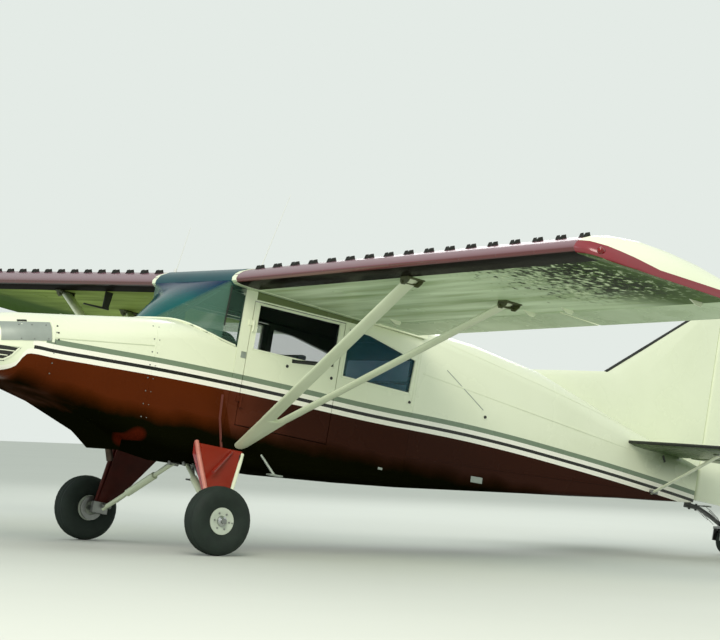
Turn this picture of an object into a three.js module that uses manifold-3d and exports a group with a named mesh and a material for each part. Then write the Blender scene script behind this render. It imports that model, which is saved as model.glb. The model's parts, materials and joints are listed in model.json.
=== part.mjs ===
// High-wing light aircraft on a tailwheel undercarriage.
// Millimetres, +X aft, +Y starboard, +Z up. Every shape is drawn in the level flying attitude,
// with its origin midway between the main wheels, and the whole is then pitched onto its wheels.
import * as THREE from 'three';
import { mergeVertices } from 'three/addons/utils/BufferGeometryUtils.js';
import Module from 'manifold-3d';

const wasm = await Module();
wasm.setup();

const GAP = 0.3;
const RUNNING_GAP = 0.5;

// Wheels and the attitude on the ground
const MAIN_WHEEL = { y: 935, radius: 236, width: 168, rim: 92 };
const TAIL_WHEEL = { x: 5385, z: 662, radius: 110, width: 66, rim: 52 };
const reach = Math.hypot(TAIL_WHEEL.x, TAIL_WHEEL.z);
const GROUND_PITCH = Math.acos((TAIL_WHEEL.radius - MAIN_WHEEL.radius) / reach)
  - Math.atan2(TAIL_WHEEL.x, TAIL_WHEEL.z);

// Wing
const WING = {
  rootX: 32, rootY: 545, rootZ: 1655, chord: 1600, halfSpan: 4310,
  dihedral: THREE.MathUtils.degToRad(1.65), washDown: 52,
};
const WING_LENGTH = WING.halfSpan - WING.rootY;
// Camber of the wing section as parts of the chord: station, upper height, lower height
const WING_SECTION = [
  [0.000, 0.024, 0.018],
  [0.008, 0.042, 0.006],
  [0.030, 0.060, 0.001],
  [0.070, 0.079, 0.000],
  [0.150, 0.100, 0.000],
  [0.270, 0.113, 0.000],
  [0.400, 0.110, 0.000],
  [0.550, 0.096, 0.000],
  [0.700, 0.069, 0.000],
  [0.765, 0.056, 0.002],
];
const TRAILING_EDGE = [1.0, 0.007, 0.003];
// Flap and aileron hinge; its height is a part of the chord over the wing's underside
const WING_HINGE = { x: 1276, radius: 38, height: 0.0295, edgeHeight: 0.005 };
const WING_BRACKET = { fromEnd: 200, half: 15, halfHeight: 8, root: 20 };
const FLAP = { start: 30, end: 2090 };
const AILERON = { start: 2115, end: 3745 };
const WING_TIP = [
  // distance past the wing's end, front x, back x, thickness share, droop
  [GAP, 0, 1600, 1.0, 0],
  [70, 12, 1597, 0.95, 8],
  [140, 60, 1588, 0.78, 24],
  [185, 150, 1570, 0.5, 38],
  [205, 300, 1530, 0.2, 46],
];

// Wing struts: where they leave the fuselage and where they meet the wing
const STRUT = {
  foot: [330, 530, 560], frontTop: [270, 2380], rearTop: [950, 2540],
  chord: 104, rearChord: 74, thickness: 40, slim: 36, rearThickness: 30, blunt: 4,
  cuff: { end: 0.17, step: 0.002, back: 150 },
};

const GEAR_LEG = [
  // height, inner y, outer y, front x, back x
  [520, 530.3, 556, -48, 355],
  [440, 530.3, 606, -42, 316],
  [52, 775, 812, 2, 130],
];
const LEG_EDGE = { front: 24, back: 20 };
const KNUCKLE = { front: -26, back: 96, inner: 775, outer: 811, bottom: -30, top: 52 };
const AXLE = { radius: 19, root: 10, past: 6 };
const SHOCK = { upper: [182, 90, 395], lower: [84, 700, 60], end: [60, 785, 6], radius: 17 };
const SHOCK_SLEEVE = { upper: [150, 276, 289], lower: [108, 546, 143], radius: 27 };

// Fuselage sections: x, half width, bottom, top, shoulder across, shoulder down, bilge radius
const NOSE_BOWL = [
  [-1690, 250, 800, 1050, 165, 120, 90],
  [-1655, 322, 762, 1085, 200, 140, 120],
  [-1570, 384, 725, 1116, 225, 155, 150],
  [-1430, 418, 697, 1152, 240, 165, 165],
  [-1200, 440, 672, 1190, 250, 170, 170],
];
const COWL = [
  [-1199, 440, 672, 1190, 250, 170, 170],
  [-930, 458, 622, 1235, 255, 165, 140],
  [-450, 490, 470, 1318, 265, 150, 110],
];
const CHIN = [
  // x, half width, bottom
  [-800, 150, 580],
  [-669, 222, 522],
  [-550, 235, 450],
  [-455, 235, 384],
];
const CHIN_SPACE = { flare: 20, overlap: 70, inside: 130, past: -430 };
const FIREWALL = { front: -470, back: -462 };
const BOOT_COWL = [
  [-449, 490, 470, 1318, 265, 150, 110],
  [-240, 506, 440, 1345, 265, 145, 90],
  [168, 526, 400, 1345, 250, 140, 70],
];
const CABIN = [
  [169, 530, 400, 1650, 12, 12, 70],
  [1040, 530, 440, 1625.2, 12, 12, 70],
  [1750, 490, 505, 1605, 12, 12, 70],
];
const AFT_BODY = [
  [1751, 490, 505, 1705, 200, 100, 70],
  [2330, 415, 580, 1690, 190, 150, 60],
  [3050, 315, 672, 1620, 170, 170, 50],
  [3540, 246, 732, 1508, 140, 160, 40],
  [4050, 172, 800, 1385, 110, 130, 30],
  [4500, 108, 852, 1292, 80, 90, 24],
  [4930, 40, 905, 1205, 34, 50, 16],
];
const WALL = 34;
const SKIN = 12;
// Head room that stays wide to the roof, between the tapering sides
const HEAD_ROOM = { front: 150, back: 1716, half: 452, bottom: 1400, top: 1700 };
const ROOF = { half: CABIN[0][1], line: [
  [30, 1702], [60, 1742], [130, 1780], [280, 1815], [520, 1832], [800, 1826],
  [1100, 1797], [1400, 1756], [1750, 1705],
] };

// Whip aerials on the roof: x and y of the foot, then the tip
const AERIALS = [
  { foot: [488, -100], tip: [652, -100, 2452] },
  { foot: [156, 500], tip: [220, 500, 2134] },
];
const AERIAL = { radius: 3.5, tipRadius: 2, base: 20, collar: 9, height: 26, sink: 30 };

// Door and window openings in the cabin side: lowest and highest x and z
const DOOR = { x0: 255, x1: 1025, z0: 700, z1: 1572, gap: 6, sill: 1246, frame: 42, topRail: 15 };
const DOOR_HINGE = {
  x: 262, y: 541, heights: [860, 1400], radius: 8, length: 40,
  leaf: 36, inner: 526, face: 530.5, outer: 538,
};
const DOOR_GLASS = { inner: 511, outer: 517 };
const REAR_WINDOW = [[1072, 1200], [1690, 1192], [1702, 1440], [1262, 1532], [1072, 1545]];
const REAR_PANE = { line: [[1040, 517], [1750, 477]], bottom: 1100, top: 1600 };
// Windshield, from the door post to the middle: foot x and y, head x and y, bulge
const WINDSHIELD = [
  [168.7, 523, 168.7, 528, 0],
  [100, 516, 100, 528, 0],
  [48, 506, 48, 528, 0],
  [22, 497, 24, 520, 2],
  [-60, 466, 24, 440, 10],
  [-150, 400, 24, 352, 20],
  [-215, 300, 24, 264, 24],
  [-285, 200, 24, 176, 26],
  [-338, 100, 24, 88, 26],
  [-355, 0, 24, 0, 26],
];
const ROOF_LIP = { x: 24, z: 1676, back: 48 };
const GLASS = 8;
const GLASS_SEAL = 2;

// Instrument panel and seats
const PANEL = { front: 20, back: 44, bottom: 960, top: 1500 };
const SEAT = {
  base: [400, 770], cushion: [760, 880], backFoot: 870,
  inset: 40, backStart: 110, lean: 20, backThickness: 90,
};
// Front and back edge, inner and outer side, top of the seat back
const FRONT_SEAT = [280, 720, 50, 470, 1330];
const REAR_SEAT = [1130, 1490, -430, 430, 1225];

// Fin, rudder, tailplane and elevator
const FIN = [
  // height, leading edge x, thickness
  [1180, 3300, 60],
  [1615, 2950, 60],
  [1700, 3420, 58],
  [1775, 3860, 56],
  [2410, 4715, 46],
  [2505, 4860, 44],
];
const FIN_BACK = { x: 4950, thickness: 44 };
const FIN_BRACKET = { heights: [1350, 1900, 2350], half: 8, halfHeight: 15, root: 10 };
const RUDDER_HINGE = { x: 4985, radius: 24 };
const RUDDER = [
  // height, chord behind the hinge
  [930, 330],
  [1250, 395],
  [1900, 385],
  [2400, 315],
  [2520, 215],
];
const TAILPLANE = {
  z: 1253, thickness: 56, back: 4702, backThickness: 42,
  // distance from the middle, leading edge x, share of the thickness
  sections: [[60, 4062, 1], [700, 4110, 1], [1330, 4185, 1], [1520, 4260, 0.7], [1605, 4430, 0.7]],
};
const TAIL_BRACKET = { places: [400, 1250], half: 15, halfHeight: 8, root: 10 };
const TAIL_BRACE = { foot: [4420, 96, 888], top: [4400, 900], chord: 40, thickness: 16, sink: 8 };
const ELEVATOR_HINGE = { x: 4738, radius: 23 };
const ELEVATOR = [
  // distance from the middle, chord behind the hinge
  [170, 395],
  [1380, 385],
  [1560, 300],
  [1610, 190],
];

// Tail spring, swivel fork and its pin
const TAIL_SPRING = {
  half: 24, thickness: 20, line: [[4890, 880], [5000, 872], [5120, 836], [5230, 794], [5288, 770]],
};
const TAIL_FORK = {
  crown: [5256, 5296], pivot: { x: 5278, radius: 16, top: 769.5 },
  inner: 40, outer: 48, bottom: 744, top: 762, arm: 5262, end: 16, below: 12, pin: 7,
};

// Engine, spinner and propeller
const THRUST_Z = 925;
const PROPELLER = {
  x: -1785, hub: { radius: 88, front: 50, back: 10 },
  // distance from the axis, chord, thickness, pitch in degrees
  blade: [
    [60, 84, 64, 60], [170, 100, 44, 52], [330, 138, 26, 40], [600, 150, 17, 28],
    [860, 128, 11, 20], [990, 84, 7, 17], [1020, 34, 4, 16],
  ],
};
const SPINNER = { back: -1722, tip: -2000, radius: 134, fullness: 1.7 };
const ENGINE = {
  x0: -1380, x1: -640, half: 330, bottom: 740, top: 1050,
  shaft: { root: 30, radius: 62, endRadius: 52 }, mount: { root: 20, half: 180, bottom: 780, top: 1000 },
};
const SHAFT_HOLE = { front: -1800, back: -1500, radius: 70 };
const INLET = { y: 205, z: 935, half: 92, tall: 62, front: -1760, back: -1600, squareness: 0.7 };
const EXHAUST = {
  y: -30, radius: 25, wall: 4,
  path: [[-700, 739.7], [-700, 712], [-560, 505], [-436, 424], [-396, 312]],
};

const PAINT = {
  cream: new THREE.MeshStandardMaterial({ color: '#e9e7d2', roughness: 0.32, metalness: 0.0 }),
  maroon: new THREE.MeshStandardMaterial({ color: '#5c1710', roughness: 0.3, metalness: 0.0 }),
  steel: new THREE.MeshStandardMaterial({ color: '#8d9094', roughness: 0.4, metalness: 0.8 }),
  dark: new THREE.MeshStandardMaterial({ color: '#24262a', roughness: 0.6, metalness: 0.1 }),
  rubber: new THREE.MeshStandardMaterial({ color: '#17191a', roughness: 0.85, metalness: 0.0 }),
  hub: new THREE.MeshStandardMaterial({ color: '#e8eaea', roughness: 0.35, metalness: 0.2 }),
  seat: new THREE.MeshStandardMaterial({ color: '#3d4450', roughness: 0.9, metalness: 0.0 }),
  glass: new THREE.MeshStandardMaterial({ color: '#5f8f98', roughness: 0.05, metalness: 0.0 }),
};

// Closed body from a row of rings with equal point counts; the ends are closed by fans
function loft(rings) {
  const count = rings[0].length;
  const positions = rings.flat();
  const faces = [];
  for (let ring = 0; ring < rings.length - 1; ring += 1) {
    for (let step = 0; step < count; step += 1) {
      const a = ring * count + step;
      const b = ring * count + ((step + 1) % count);
      faces.push([a, b, b + count], [a, b + count, a + count]);
    }
  }
  for (const [ring, order] of [[0, -1], [rings.length - 1, 1]]) {
    const middle = [0, 1, 2].map((axis) => rings[ring].reduce((sum, p) => sum + p[axis], 0) / count);
    const centre = positions.push(middle) - 1;
    for (let step = 0; step < count; step += 1) {
      const a = ring * count + step;
      const b = ring * count + ((step + 1) % count);
      faces.push(order > 0 ? [a, b, centre] : [b, a, centre]);
    }
  }
  return outward(positions, faces);
}

// Closed sheet between an outer and an inner net of points, its rim closed all round
function sheet(outer, inner) {
  const rows = outer.length - 1;
  const columns = outer[0].length - 1;
  const inside = (rows + 1) * (columns + 1);
  const at = (row, column) => row * (columns + 1) + column;
  const faces = [];
  const quad = (a, b, c, d) => faces.push([a, b, c], [a, c, d]);
  const rim = [];
  for (let row = 0; row < rows; row += 1) {
    for (let column = 0; column < columns; column += 1) {
      const corners = [at(row, column), at(row, column + 1), at(row + 1, column + 1), at(row + 1, column)];
      const [a, b, c, d] = corners;
      quad(a, b, c, d);
      quad(inside + a, inside + d, inside + c, inside + b);
      if (row === 0) rim.push([a, b]);
      if (column === columns - 1) rim.push([b, c]);
      if (row === rows - 1) rim.push([c, d]);
      if (column === 0) rim.push([d, a]);
    }
  }
  for (const [a, b] of rim) quad(b, a, inside + a, inside + b);
  return outward([...outer.flat(), ...inner.flat()], faces);
}

// Geometry from corner positions and faces, turned so that its faces point out
function outward(positions, faces) {
  let volume = 0;
  for (const [a, b, c] of faces) {
    const [p, q, r] = [a, b, c].map((index) => new THREE.Vector3(...positions[index]));
    volume += p.dot(q.cross(r));
  }
  const ordered = volume > 0 ? faces : faces.map(([a, b, c]) => [a, c, b]);
  const geometry = new THREE.BufferGeometry();
  geometry.setAttribute('position', new THREE.Float32BufferAttribute(positions.flat(), 3));
  geometry.setIndex(ordered.flat());
  return geometry;
}

function solid(geometry) {
  const clean = geometry.clone();
  for (const name of Object.keys(clean.attributes)) {
    if (name !== 'position') clean.deleteAttribute(name);
  }
  const merged = mergeVertices(clean, 1e-3);
  return new wasm.Manifold(new wasm.Mesh({
    numProp: 3,
    vertProperties: new Float32Array(merged.attributes.position.array),
    triVerts: new Uint32Array(merged.index.array),
  }));
}

function geometryOf(manifold) {
  const mesh = manifold.getMesh();
  const geometry = new THREE.BufferGeometry();
  geometry.setAttribute('position', new THREE.BufferAttribute(mesh.vertProperties, 3));
  geometry.setIndex(new THREE.BufferAttribute(mesh.triVerts, 1));
  return geometry;
}

const join = (...parts) => geometryOf(parts.map(solid).reduce((a, b) => a.add(b)));
const common = (body, limit) => geometryOf(solid(body).intersect(solid(limit)));
const cut = (body, ...tools) => geometryOf(tools.map(solid).reduce((a, b) => a.subtract(b), solid(body)));

function mirrored(geometry) {
  const copy = geometry.index ? geometry.toNonIndexed() : geometry.clone();
  const array = copy.attributes.position.array;
  for (let i = 0; i < array.length; i += 9) {
    for (const corner of [0, 3, 6]) array[i + corner + 1] *= -1;
    for (const axis of [0, 1, 2]) {
      const kept = array[i + 3 + axis];
      array[i + 3 + axis] = array[i + 6 + axis];
      array[i + 6 + axis] = kept;
    }
  }
  const clean = new THREE.BufferGeometry();
  clean.setAttribute('position', new THREE.BufferAttribute(array, 3));
  return mergeVertices(clean, 1e-3);
}

function box(x0, x1, y0, y1, z0, z1) {
  const geometry = new THREE.BoxGeometry(x1 - x0, y1 - y0, z1 - z0);
  return geometry.translate((x0 + x1) / 2, (y0 + y1) / 2, (z0 + z1) / 2);
}

// Plate with an outline in x and z, between two y values
function sidePlate(outline, y0, y1) {
  const shape = new THREE.Shape(outline.map(([x, z]) => new THREE.Vector2(x, z)));
  const geometry = new THREE.ExtrudeGeometry(shape, { depth: y1 - y0, bevelEnabled: false });
  return geometry.rotateX(Math.PI / 2).translate(0, y1, 0);
}

// Round bar between two points, with the radius at either end
function rod(start, end, radius, endRadius = radius, sides = 14) {
  const from = new THREE.Vector3(...start);
  const along = new THREE.Vector3(...end).sub(from);
  const geometry = new THREE.CylinderGeometry(endRadius, radius, along.length(), sides);
  geometry.translate(0, along.length() / 2, 0);
  const turn = new THREE.Quaternion().setFromUnitVectors(new THREE.Vector3(0, 1, 0), along.normalize());
  return geometry.applyQuaternion(turn).translate(...start);
}

// Ring round the fuselage at one section, its four corners as quarter ellipses
function bodyRing([x, half, low, high, across, down, bilge], inset = 0, steps = 6) {
  const y = half - inset;
  const corners = [
    [y, high - inset, across, down, 0, 1, 1],
    [y, high - inset, across, down, 90, -1, 1],
    [y, low + inset, bilge, bilge, 180, -1, -1],
    [y, low + inset, bilge, bilge, 270, 1, -1],
  ];
  const ring = [];
  for (const [edge, level, radiusY, radiusZ, start, sideY, sideZ] of corners) {
    const centreY = sideY * (edge - radiusY);
    const centreZ = level - sideZ * radiusZ;
    for (let step = 0; step <= steps; step += 1) {
      const angle = THREE.MathUtils.degToRad(start + (90 * step) / steps);
      ring.push([x, centreY + radiusY * Math.cos(angle), centreZ + radiusZ * Math.sin(angle)]);
    }
  }
  return ring;
}

const hull = (stations, inset = 0) => loft(stations.map((station) => bodyRing(station, inset)));

// The inside of a hull: smaller by its skin, and run past an open end or stopped short of a closed one
function hollow(stations, inset, frontMove, rearMove) {
  const first = stations[0];
  const last = stations.at(-1);
  const front = [first[0] + frontMove, ...first.slice(1)];
  const rear = [last[0] + rearMove, ...last.slice(1)];
  const middle = stations.slice(1, -1);
  const inner = [
    ...(frontMove < 0 ? [front, first] : [stationAt(stations, front[0])]),
    ...middle,
    ...(rearMove > 0 ? [last, rear] : [stationAt(stations, rear[0])]),
  ];
  return hull(inner, inset);
}

// Ring of a streamlined section with a blunt back, drawn in its own plane
function bladeSection(front, back, thickness, backThickness) {
  const length = back - front;
  const half = [[0, 0.1], [0.03, 0.42], [0.12, 0.8], [0.32, 1.0], [0.62, 0.9]];
  const upper = half.map(([s, t]) => [front + s * length, (t * thickness) / 2]);
  const lower = half.map(([s, t]) => [front + s * length, (-t * thickness) / 2]).reverse();
  return [...upper, [back, backThickness / 2], [back, -backThickness / 2], ...lower];
}

// Ring of a hinged surface: a round nose about the hinge and a thin back edge
function flapSection(hinge, chord, radius, drop = 0, edge = 3, steps = 8) {
  const ring = [];
  for (let step = 0; step <= steps; step += 1) {
    const angle = THREE.MathUtils.degToRad(90 + (180 * step) / steps);
    ring.push([hinge + radius * Math.cos(angle), radius * Math.sin(angle)]);
  }
  ring.push([hinge + chord, drop - edge], [hinge + chord, drop + edge]);
  return ring;
}

const aircraft = new THREE.Group();
const level = new THREE.Group();
aircraft.add(level);

function place(name, geometry, material, parent = level) {
  const mesh = new THREE.Mesh(geometry, material);
  mesh.name = name;
  parent.add(mesh);
  return mesh;
}

function placePair(name, geometry, material, parents = [level, level]) {
  place(`${name}_right`, geometry, material, parents[0]);
  place(`${name}_left`, mirrored(geometry), material, parents[1]);
}

function buildNose() {
  const inlet = roundedInlet();
  const { front, back, radius: holeRadius } = SHAFT_HOLE;
  const shaftHole = rod([front, 0, THRUST_Z], [back, 0, THRUST_Z], holeRadius, holeRadius, 24);
  const shell = cut(hull(NOSE_BOWL), hollow(NOSE_BOWL, SKIN, SKIN, 20), shaftHole, inlet, mirrored(inlet));
  place('nose_bowl', shell, PAINT.cream);

  const { flare, overlap, inside, past } = CHIN_SPACE;
  const trough = (x, half, low, top) => [
    [x, half, low], [x, half + flare, top], [x, -half - flare, top], [x, -half, low],
  ];
  const outlet = loft(CHIN.map(([x, half, low]) => trough(x, half, low, stationAt(COWL, x)[2] + overlap)));
  const [, lipHalf, lipLow] = CHIN.at(-1);
  const outletSpace = loft([...CHIN.slice(1), [past, lipHalf, lipLow]].map(([x, half, low]) => {
    const top = stationAt(COWL, Math.min(x, COWL.at(-1)[0]))[2] + inside;
    return trough(x, half - SKIN, low + SKIN, top);
  }));
  place('cowl', cut(join(hull(COWL), outlet), hollow(COWL, SKIN, -20, 20), outletSpace), PAINT.maroon);
  place('firewall', bulkhead(COWL, SKIN + GAP, FIREWALL.front, FIREWALL.back), PAINT.steel);

  const { x0, x1, half, bottom, top, shaft, mount } = ENGINE;
  const block = box(x0, x1, -half, half, bottom, top);
  const shaftEnd = SPINNER.back + PROPELLER.hub.back + RUNNING_GAP;
  const shaftStart = x0 + shaft.root;
  const snout = rod([shaftStart, 0, THRUST_Z], [shaftEnd, 0, THRUST_Z], shaft.radius, shaft.endRadius, 20);
  const mountEnd = FIREWALL.front - GAP;
  const frame = box(x1 - mount.root, mountEnd, -mount.half, mount.half, mount.bottom, mount.top);
  place('engine', join(block, snout, frame), PAINT.steel);
  const { path, radius, wall } = EXHAUST;
  const outside = bentPipe(path, radius);
  const [, , , elbow, mouth] = path;
  const share = (from, to, part) => from.map((value, axis) => value + (to[axis] - value) * part);
  const bore = bentPipe([share(elbow, mouth, 0.4), share(elbow, mouth, 1.2)], radius - wall);
  place('exhaust_pipe', cut(outside, bore), PAINT.steel);
}

// Round pipe through points in x and z, at the exhaust's distance from the middle
function bentPipe(path, radius, sides = 18) {
  return loft(path.map(([x, z], index) => {
    const before = path[Math.max(index - 1, 0)];
    const after = path[Math.min(index + 1, path.length - 1)];
    const along = new THREE.Vector2(after[0] - before[0], after[1] - before[1]).normalize();
    const ring = [];
    for (let step = 0; step < sides; step += 1) {
      const angle = (2 * Math.PI * step) / sides;
      const up = radius * Math.sin(angle);
      ring.push([x - along.y * up, EXHAUST.y + radius * Math.cos(angle), z + along.x * up]);
    }
    return ring;
  }));
}

function roundedInlet() {
  const ring = (x) => {
    const points = [];
    for (let step = 0; step < 16; step += 1) {
      const angle = (2 * Math.PI * step) / 16;
      const [across, up] = [Math.cos(angle), Math.sin(angle)].map((value) => (
        Math.sign(value) * Math.abs(value) ** INLET.squareness));
      points.push([x, INLET.y + across * INLET.half, INLET.z + up * INLET.tall]);
    }
    return points;
  };
  return loft([ring(INLET.front), ring(INLET.back)]);
}

// Section of a hull at any x between its stations
function stationAt(stations, x) {
  const next = stations.findIndex((station) => station[0] >= x);
  const [before, after] = [stations[next - 1], stations[next]];
  const share = (x - before[0]) / (after[0] - before[0]);
  return before.map((value, index) => value + (after[index] - value) * share);
}

// Flat plate that fills a hull between two x values
function bulkhead(stations, inset, x0, x1) {
  return loft([x0, x1].map((x) => bodyRing(stationAt(stations, x), inset)));
}

function buildCabin() {
  const boot = cut(hull(BOOT_COWL), hollow(BOOT_COWL, SKIN, -20, 20));
  place('boot_cowl', boot, PAINT.cream);

  const outer = hull(CABIN);
  const inner = hollow(CABIN, WALL, -30, -WALL);
  const { front, back, half, bottom, top } = HEAD_ROOM;
  const headRoom = box(front, back, -half, half, bottom, top);
  const gap = DOOR.gap;
  const doorway = box(DOOR.x0 - gap, DOOR.x1 + gap, 400, 600, DOOR.z0 - gap, DOOR.z1 + gap);
  const rearLight = sidePlate(REAR_WINDOW, 380, 600);
  const openings = [doorway, mirrored(doorway), rearLight, mirrored(rearLight)];
  const { x, y, heights, radius, length, leaf, inner: leafInner, face, outer: leafOuter } = DOOR_HINGE;
  const hinges = heights.flatMap((z) => {
    const [low, high] = [z + RUNNING_GAP, z + length];
    const hinge = join(
      rod([x, y, low], [x, y, high], radius),
      box(x - leaf, x, face, leafOuter, low, high),
      box(x - leaf, DOOR.x0 - DOOR.gap - GAP, leafInner, leafOuter, low, high));
    return [hinge, mirrored(hinge)];
  });
  place('cabin_shell', join(cut(outer, inner, headRoom, ...openings), ...hinges), PAINT.cream);

  const backEnd = CABIN.at(-1)[0];
  const roofUnder = [backEnd, ROOF_LIP.back, ROOF_LIP.x].map((along) => [along, ceiling(along)]);
  const roof = sidePlate([...ROOF.line, ...roofUnder], -ROOF.half, ROOF.half);
  place('cabin_roof', roof, PAINT.cream);

  AERIALS.forEach(({ foot: [footX, footY], tip }, index) => {
    const [, skin] = stationAt(ROOF.line, footX);
    const start = [footX, footY, skin - AERIAL.sink];
    const base = rod(start, [footX, footY, skin + AERIAL.height], AERIAL.base, AERIAL.collar, 20);
    const whip = rod(start, tip, AERIAL.radius, AERIAL.tipRadius, 10);
    place(`aerial_${index + 1}`, cut(join(base, whip), grown(roof)), PAINT.dark);
  });
}

// Height of the roof's underside: level with the cabin sides, and rising to a lip in front
function ceiling(x) {
  const [front, , back] = CABIN;
  const along = Math.max(x, ROOF_LIP.back);
  const flat = front[3] + ((along - front[0]) * (back[3] - front[3])) / (back[0] - front[0]) + GAP;
  const rise = Math.max(0, (ROOF_LIP.back - x) / (ROOF_LIP.back - ROOF_LIP.x));
  return flat + rise * (ROOF_LIP.z - flat);
}

function buildAftBody() {
  place('aft_fuselage', hull(AFT_BODY), PAINT.cream);
}

function buildDoors() {
  const { x0, x1, z0, z1, frame, topRail, sill } = DOOR;
  const side = CABIN[0][1];
  const panel = box(x0, x1, side - WALL, side, z0, z1);
  const light = box(x0 + frame, x1 - frame, 400, 600, sill, z1 - topRail);
  const { x: hingeX, y: hingeY, heights, radius, length, leaf, inner, outer } = DOOR_HINGE;
  const knuckles = heights.map((z) => join(
    rod([hingeX, hingeY, z - length], [hingeX, hingeY, z], radius),
    box(hingeX, hingeX + leaf, inner, outer, z - length, z)));
  placePair('door', join(cut(panel, light), ...knuckles), PAINT.cream);
  const edge = frame + GAP;
  const paneTop = z1 - topRail - GAP;
  const pane = box(x0 + edge, x1 - edge, DOOR_GLASS.inner, DOOR_GLASS.outer, sill + GAP, paneTop);
  placePair('door_glass', pane, PAINT.glass);
  const { line, bottom, top } = REAR_PANE;
  const slab = loft(line.map(([x, y]) => [
    [x, y - GLASS, bottom], [x, y, bottom], [x, y, top], [x, y - GLASS, top]]));
  const surround = cut(box(1000, 1800, 380, 600, 1000, 1650), sidePlate(REAR_WINDOW, 370, 610));
  placePair('rear_window', cut(slab, grown(surround)), PAINT.glass);
}

// Height of the boot cowl's upper side
function deck(x, y) {
  const [, half, , high, across, down] = stationAt(BOOT_COWL, Math.min(x, BOOT_COWL.at(-1)[0]));
  const past = Math.max(0, (Math.abs(y) - (half - across)) / across);
  return high - down + down * Math.sqrt(Math.max(0, 1 - past * past));
}

function buildWindshield() {
  const other = WINDSHIELD.slice(0, -1).map(([x, y, topX, topY, bulge]) => [x, -y, topX, -topY, bulge]);
  const rows = [...WINDSHIELD, ...other.reverse()];
  const columns = rows.flatMap((row, index) => {
    const next = rows[index + 1];
    return next ? [row, row.map((value, item) => (value + next[item]) / 2)] : [row];
  });
  const last = columns.length - 1;
  const shares = [0, 0.35, 0.7, 1];
  const net = shares.map((share) => {
    const line = columns.map(([x, y, topX, topY]) => [x + (topX - x) * share, y + (topY - y) * share]);
    return line.map(([x, y], column) => {
      const [before, after] = [line[Math.max(column - 1, 0)], line[Math.min(column + 1, last)]];
      const atPost = column === 0 || column === last;
      const out = new THREE.Vector2(atPost ? 0 : after[1] - before[1], before[0] - after[0]).normalize();
      const [footX, footY, topX, , most] = columns[column];
      const bulge = most * Math.sin(Math.PI * share);
      return [bulge, bulge - GLASS].map((move) => {
        const point = [x + out.x * move, y + out.y * move];
        const low = deck(...(share === 0 ? point : [footX, footY])) + GLASS_SEAL;
        const high = ceiling(share === 1 ? point[0] : topX) - GLASS_SEAL / 2;
        return [...point, low + (high - low) * share];
      });
    });
  });
  const [outer, inner] = [0, 1].map((side) => net.map((row) => row.map((pair) => pair[side])));
  place('windshield', sheet(outer, inner), PAINT.glass);
}

function buildInterior() {
  const across = bulkhead(BOOT_COWL, SKIN + GAP, PANEL.front, PANEL.back);
  const panel = common(across, box(PANEL.front - 10, PANEL.back + 10, -600, 600, PANEL.bottom, PANEL.top));
  place('instrument_panel', panel, PAINT.dark);
  const room = hollow(CABIN, WALL + GAP, -30, -WALL - GAP);
  const { base, cushion, backFoot, inset, backStart, lean, backThickness } = SEAT;
  const seat = ([x0, x1, y0, y1, backTop]) => join(
    box(x0, x1, y0, y1, ...cushion),
    common(box(x0 + inset, x1 - inset, y0 + inset, y1 - inset, ...base), room),
    loft([[x1 - backStart, backFoot], [x1 + lean, backTop]].map(([x, z]) => [
      [x, y0, z], [x + backThickness, y0, z], [x + backThickness, y1, z], [x, y1, z]])));
  placePair('front_seat', seat(FRONT_SEAT), PAINT.seat);
  place('rear_seat', seat(REAR_SEAT), PAINT.seat);
}

function wingRing(rows, y, front, back, scale, drop) {
  const length = back - front;
  const at = (s, height) => [front + s * length, y, wingZ(s) + height * scale * WING.chord - drop];
  const upper = rows.map(([s, top]) => at(s, top));
  const lower = rows.map(([s, , bottom]) => at(s, bottom));
  return [...upper, ...lower.reverse()];
}

const wingZ = (s) => -s * WING.washDown;

function buildWings() {
  const groups = [1, -1].map((side) => {
    const group = new THREE.Group();
    group.position.set(WING.rootX, side * WING.rootY, WING.rootZ);
    group.rotation.x = side * WING.dihedral;
    level.add(group);
    return group;
  });

  const { x: hingeX, radius } = WING_HINGE;
  const share = hingeX / WING.chord;
  const hingeZ = wingZ(share) + WING_HINGE.height * WING.chord;
  const main = loft([0, WING_LENGTH].map((y) => wingRing(WING_SECTION, y, 0, WING.chord, 1, 0)));
  const rearFace = WING_SECTION.at(-1)[0] * WING.chord;
  const { fromEnd, half, halfHeight, root } = WING_BRACKET;
  const hingeNose = hingeX - radius - RUNNING_GAP;
  const places = [FLAP, AILERON].flatMap(({ start, end }) => [start + fromEnd, end - fromEnd]);
  const brackets = places.map((y) => (
    box(rearFace - root, hingeNose, y - half, y + half, hingeZ - halfHeight, hingeZ + halfHeight)));
  placePair('wing', join(main, ...brackets), PAINT.cream, groups);

  const drop = wingZ(1) + WING_HINGE.edgeHeight * WING.chord - hingeZ;
  const surface = ({ start, end }) => loft([start, end].map((y) => (
    flapSection(hingeX, WING.chord - hingeX, radius, drop).map(([x, z]) => [x, y, z + hingeZ]))));
  placePair('flap', surface(FLAP), PAINT.cream, groups);
  placePair('aileron', surface(AILERON), PAINT.cream, groups);

  const rows = [...WING_SECTION, TRAILING_EDGE];
  const rings = WING_TIP.map(([past, ...shape]) => wingRing(rows, WING_LENGTH + past, ...shape));
  placePair('wingtip', loft(rings), PAINT.cream, groups);
}

function wingUnderside(x, y) {
  const out = Math.abs(y) - WING.rootY;
  const share = (x - WING.rootX) / WING.chord;
  return WING.rootZ + (out * Math.sin(WING.dihedral) + wingZ(share)) / Math.cos(WING.dihedral);
}

// Directions of a bar whose chord lies as near to x as it can
function barAxes(from, to) {
  const along = to.clone().sub(from).normalize();
  const across = new THREE.Vector3(1, 0, 0).addScaledVector(along, -along.x).normalize();
  return { along, across, up: new THREE.Vector3().crossVectors(along, across) };
}

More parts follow.
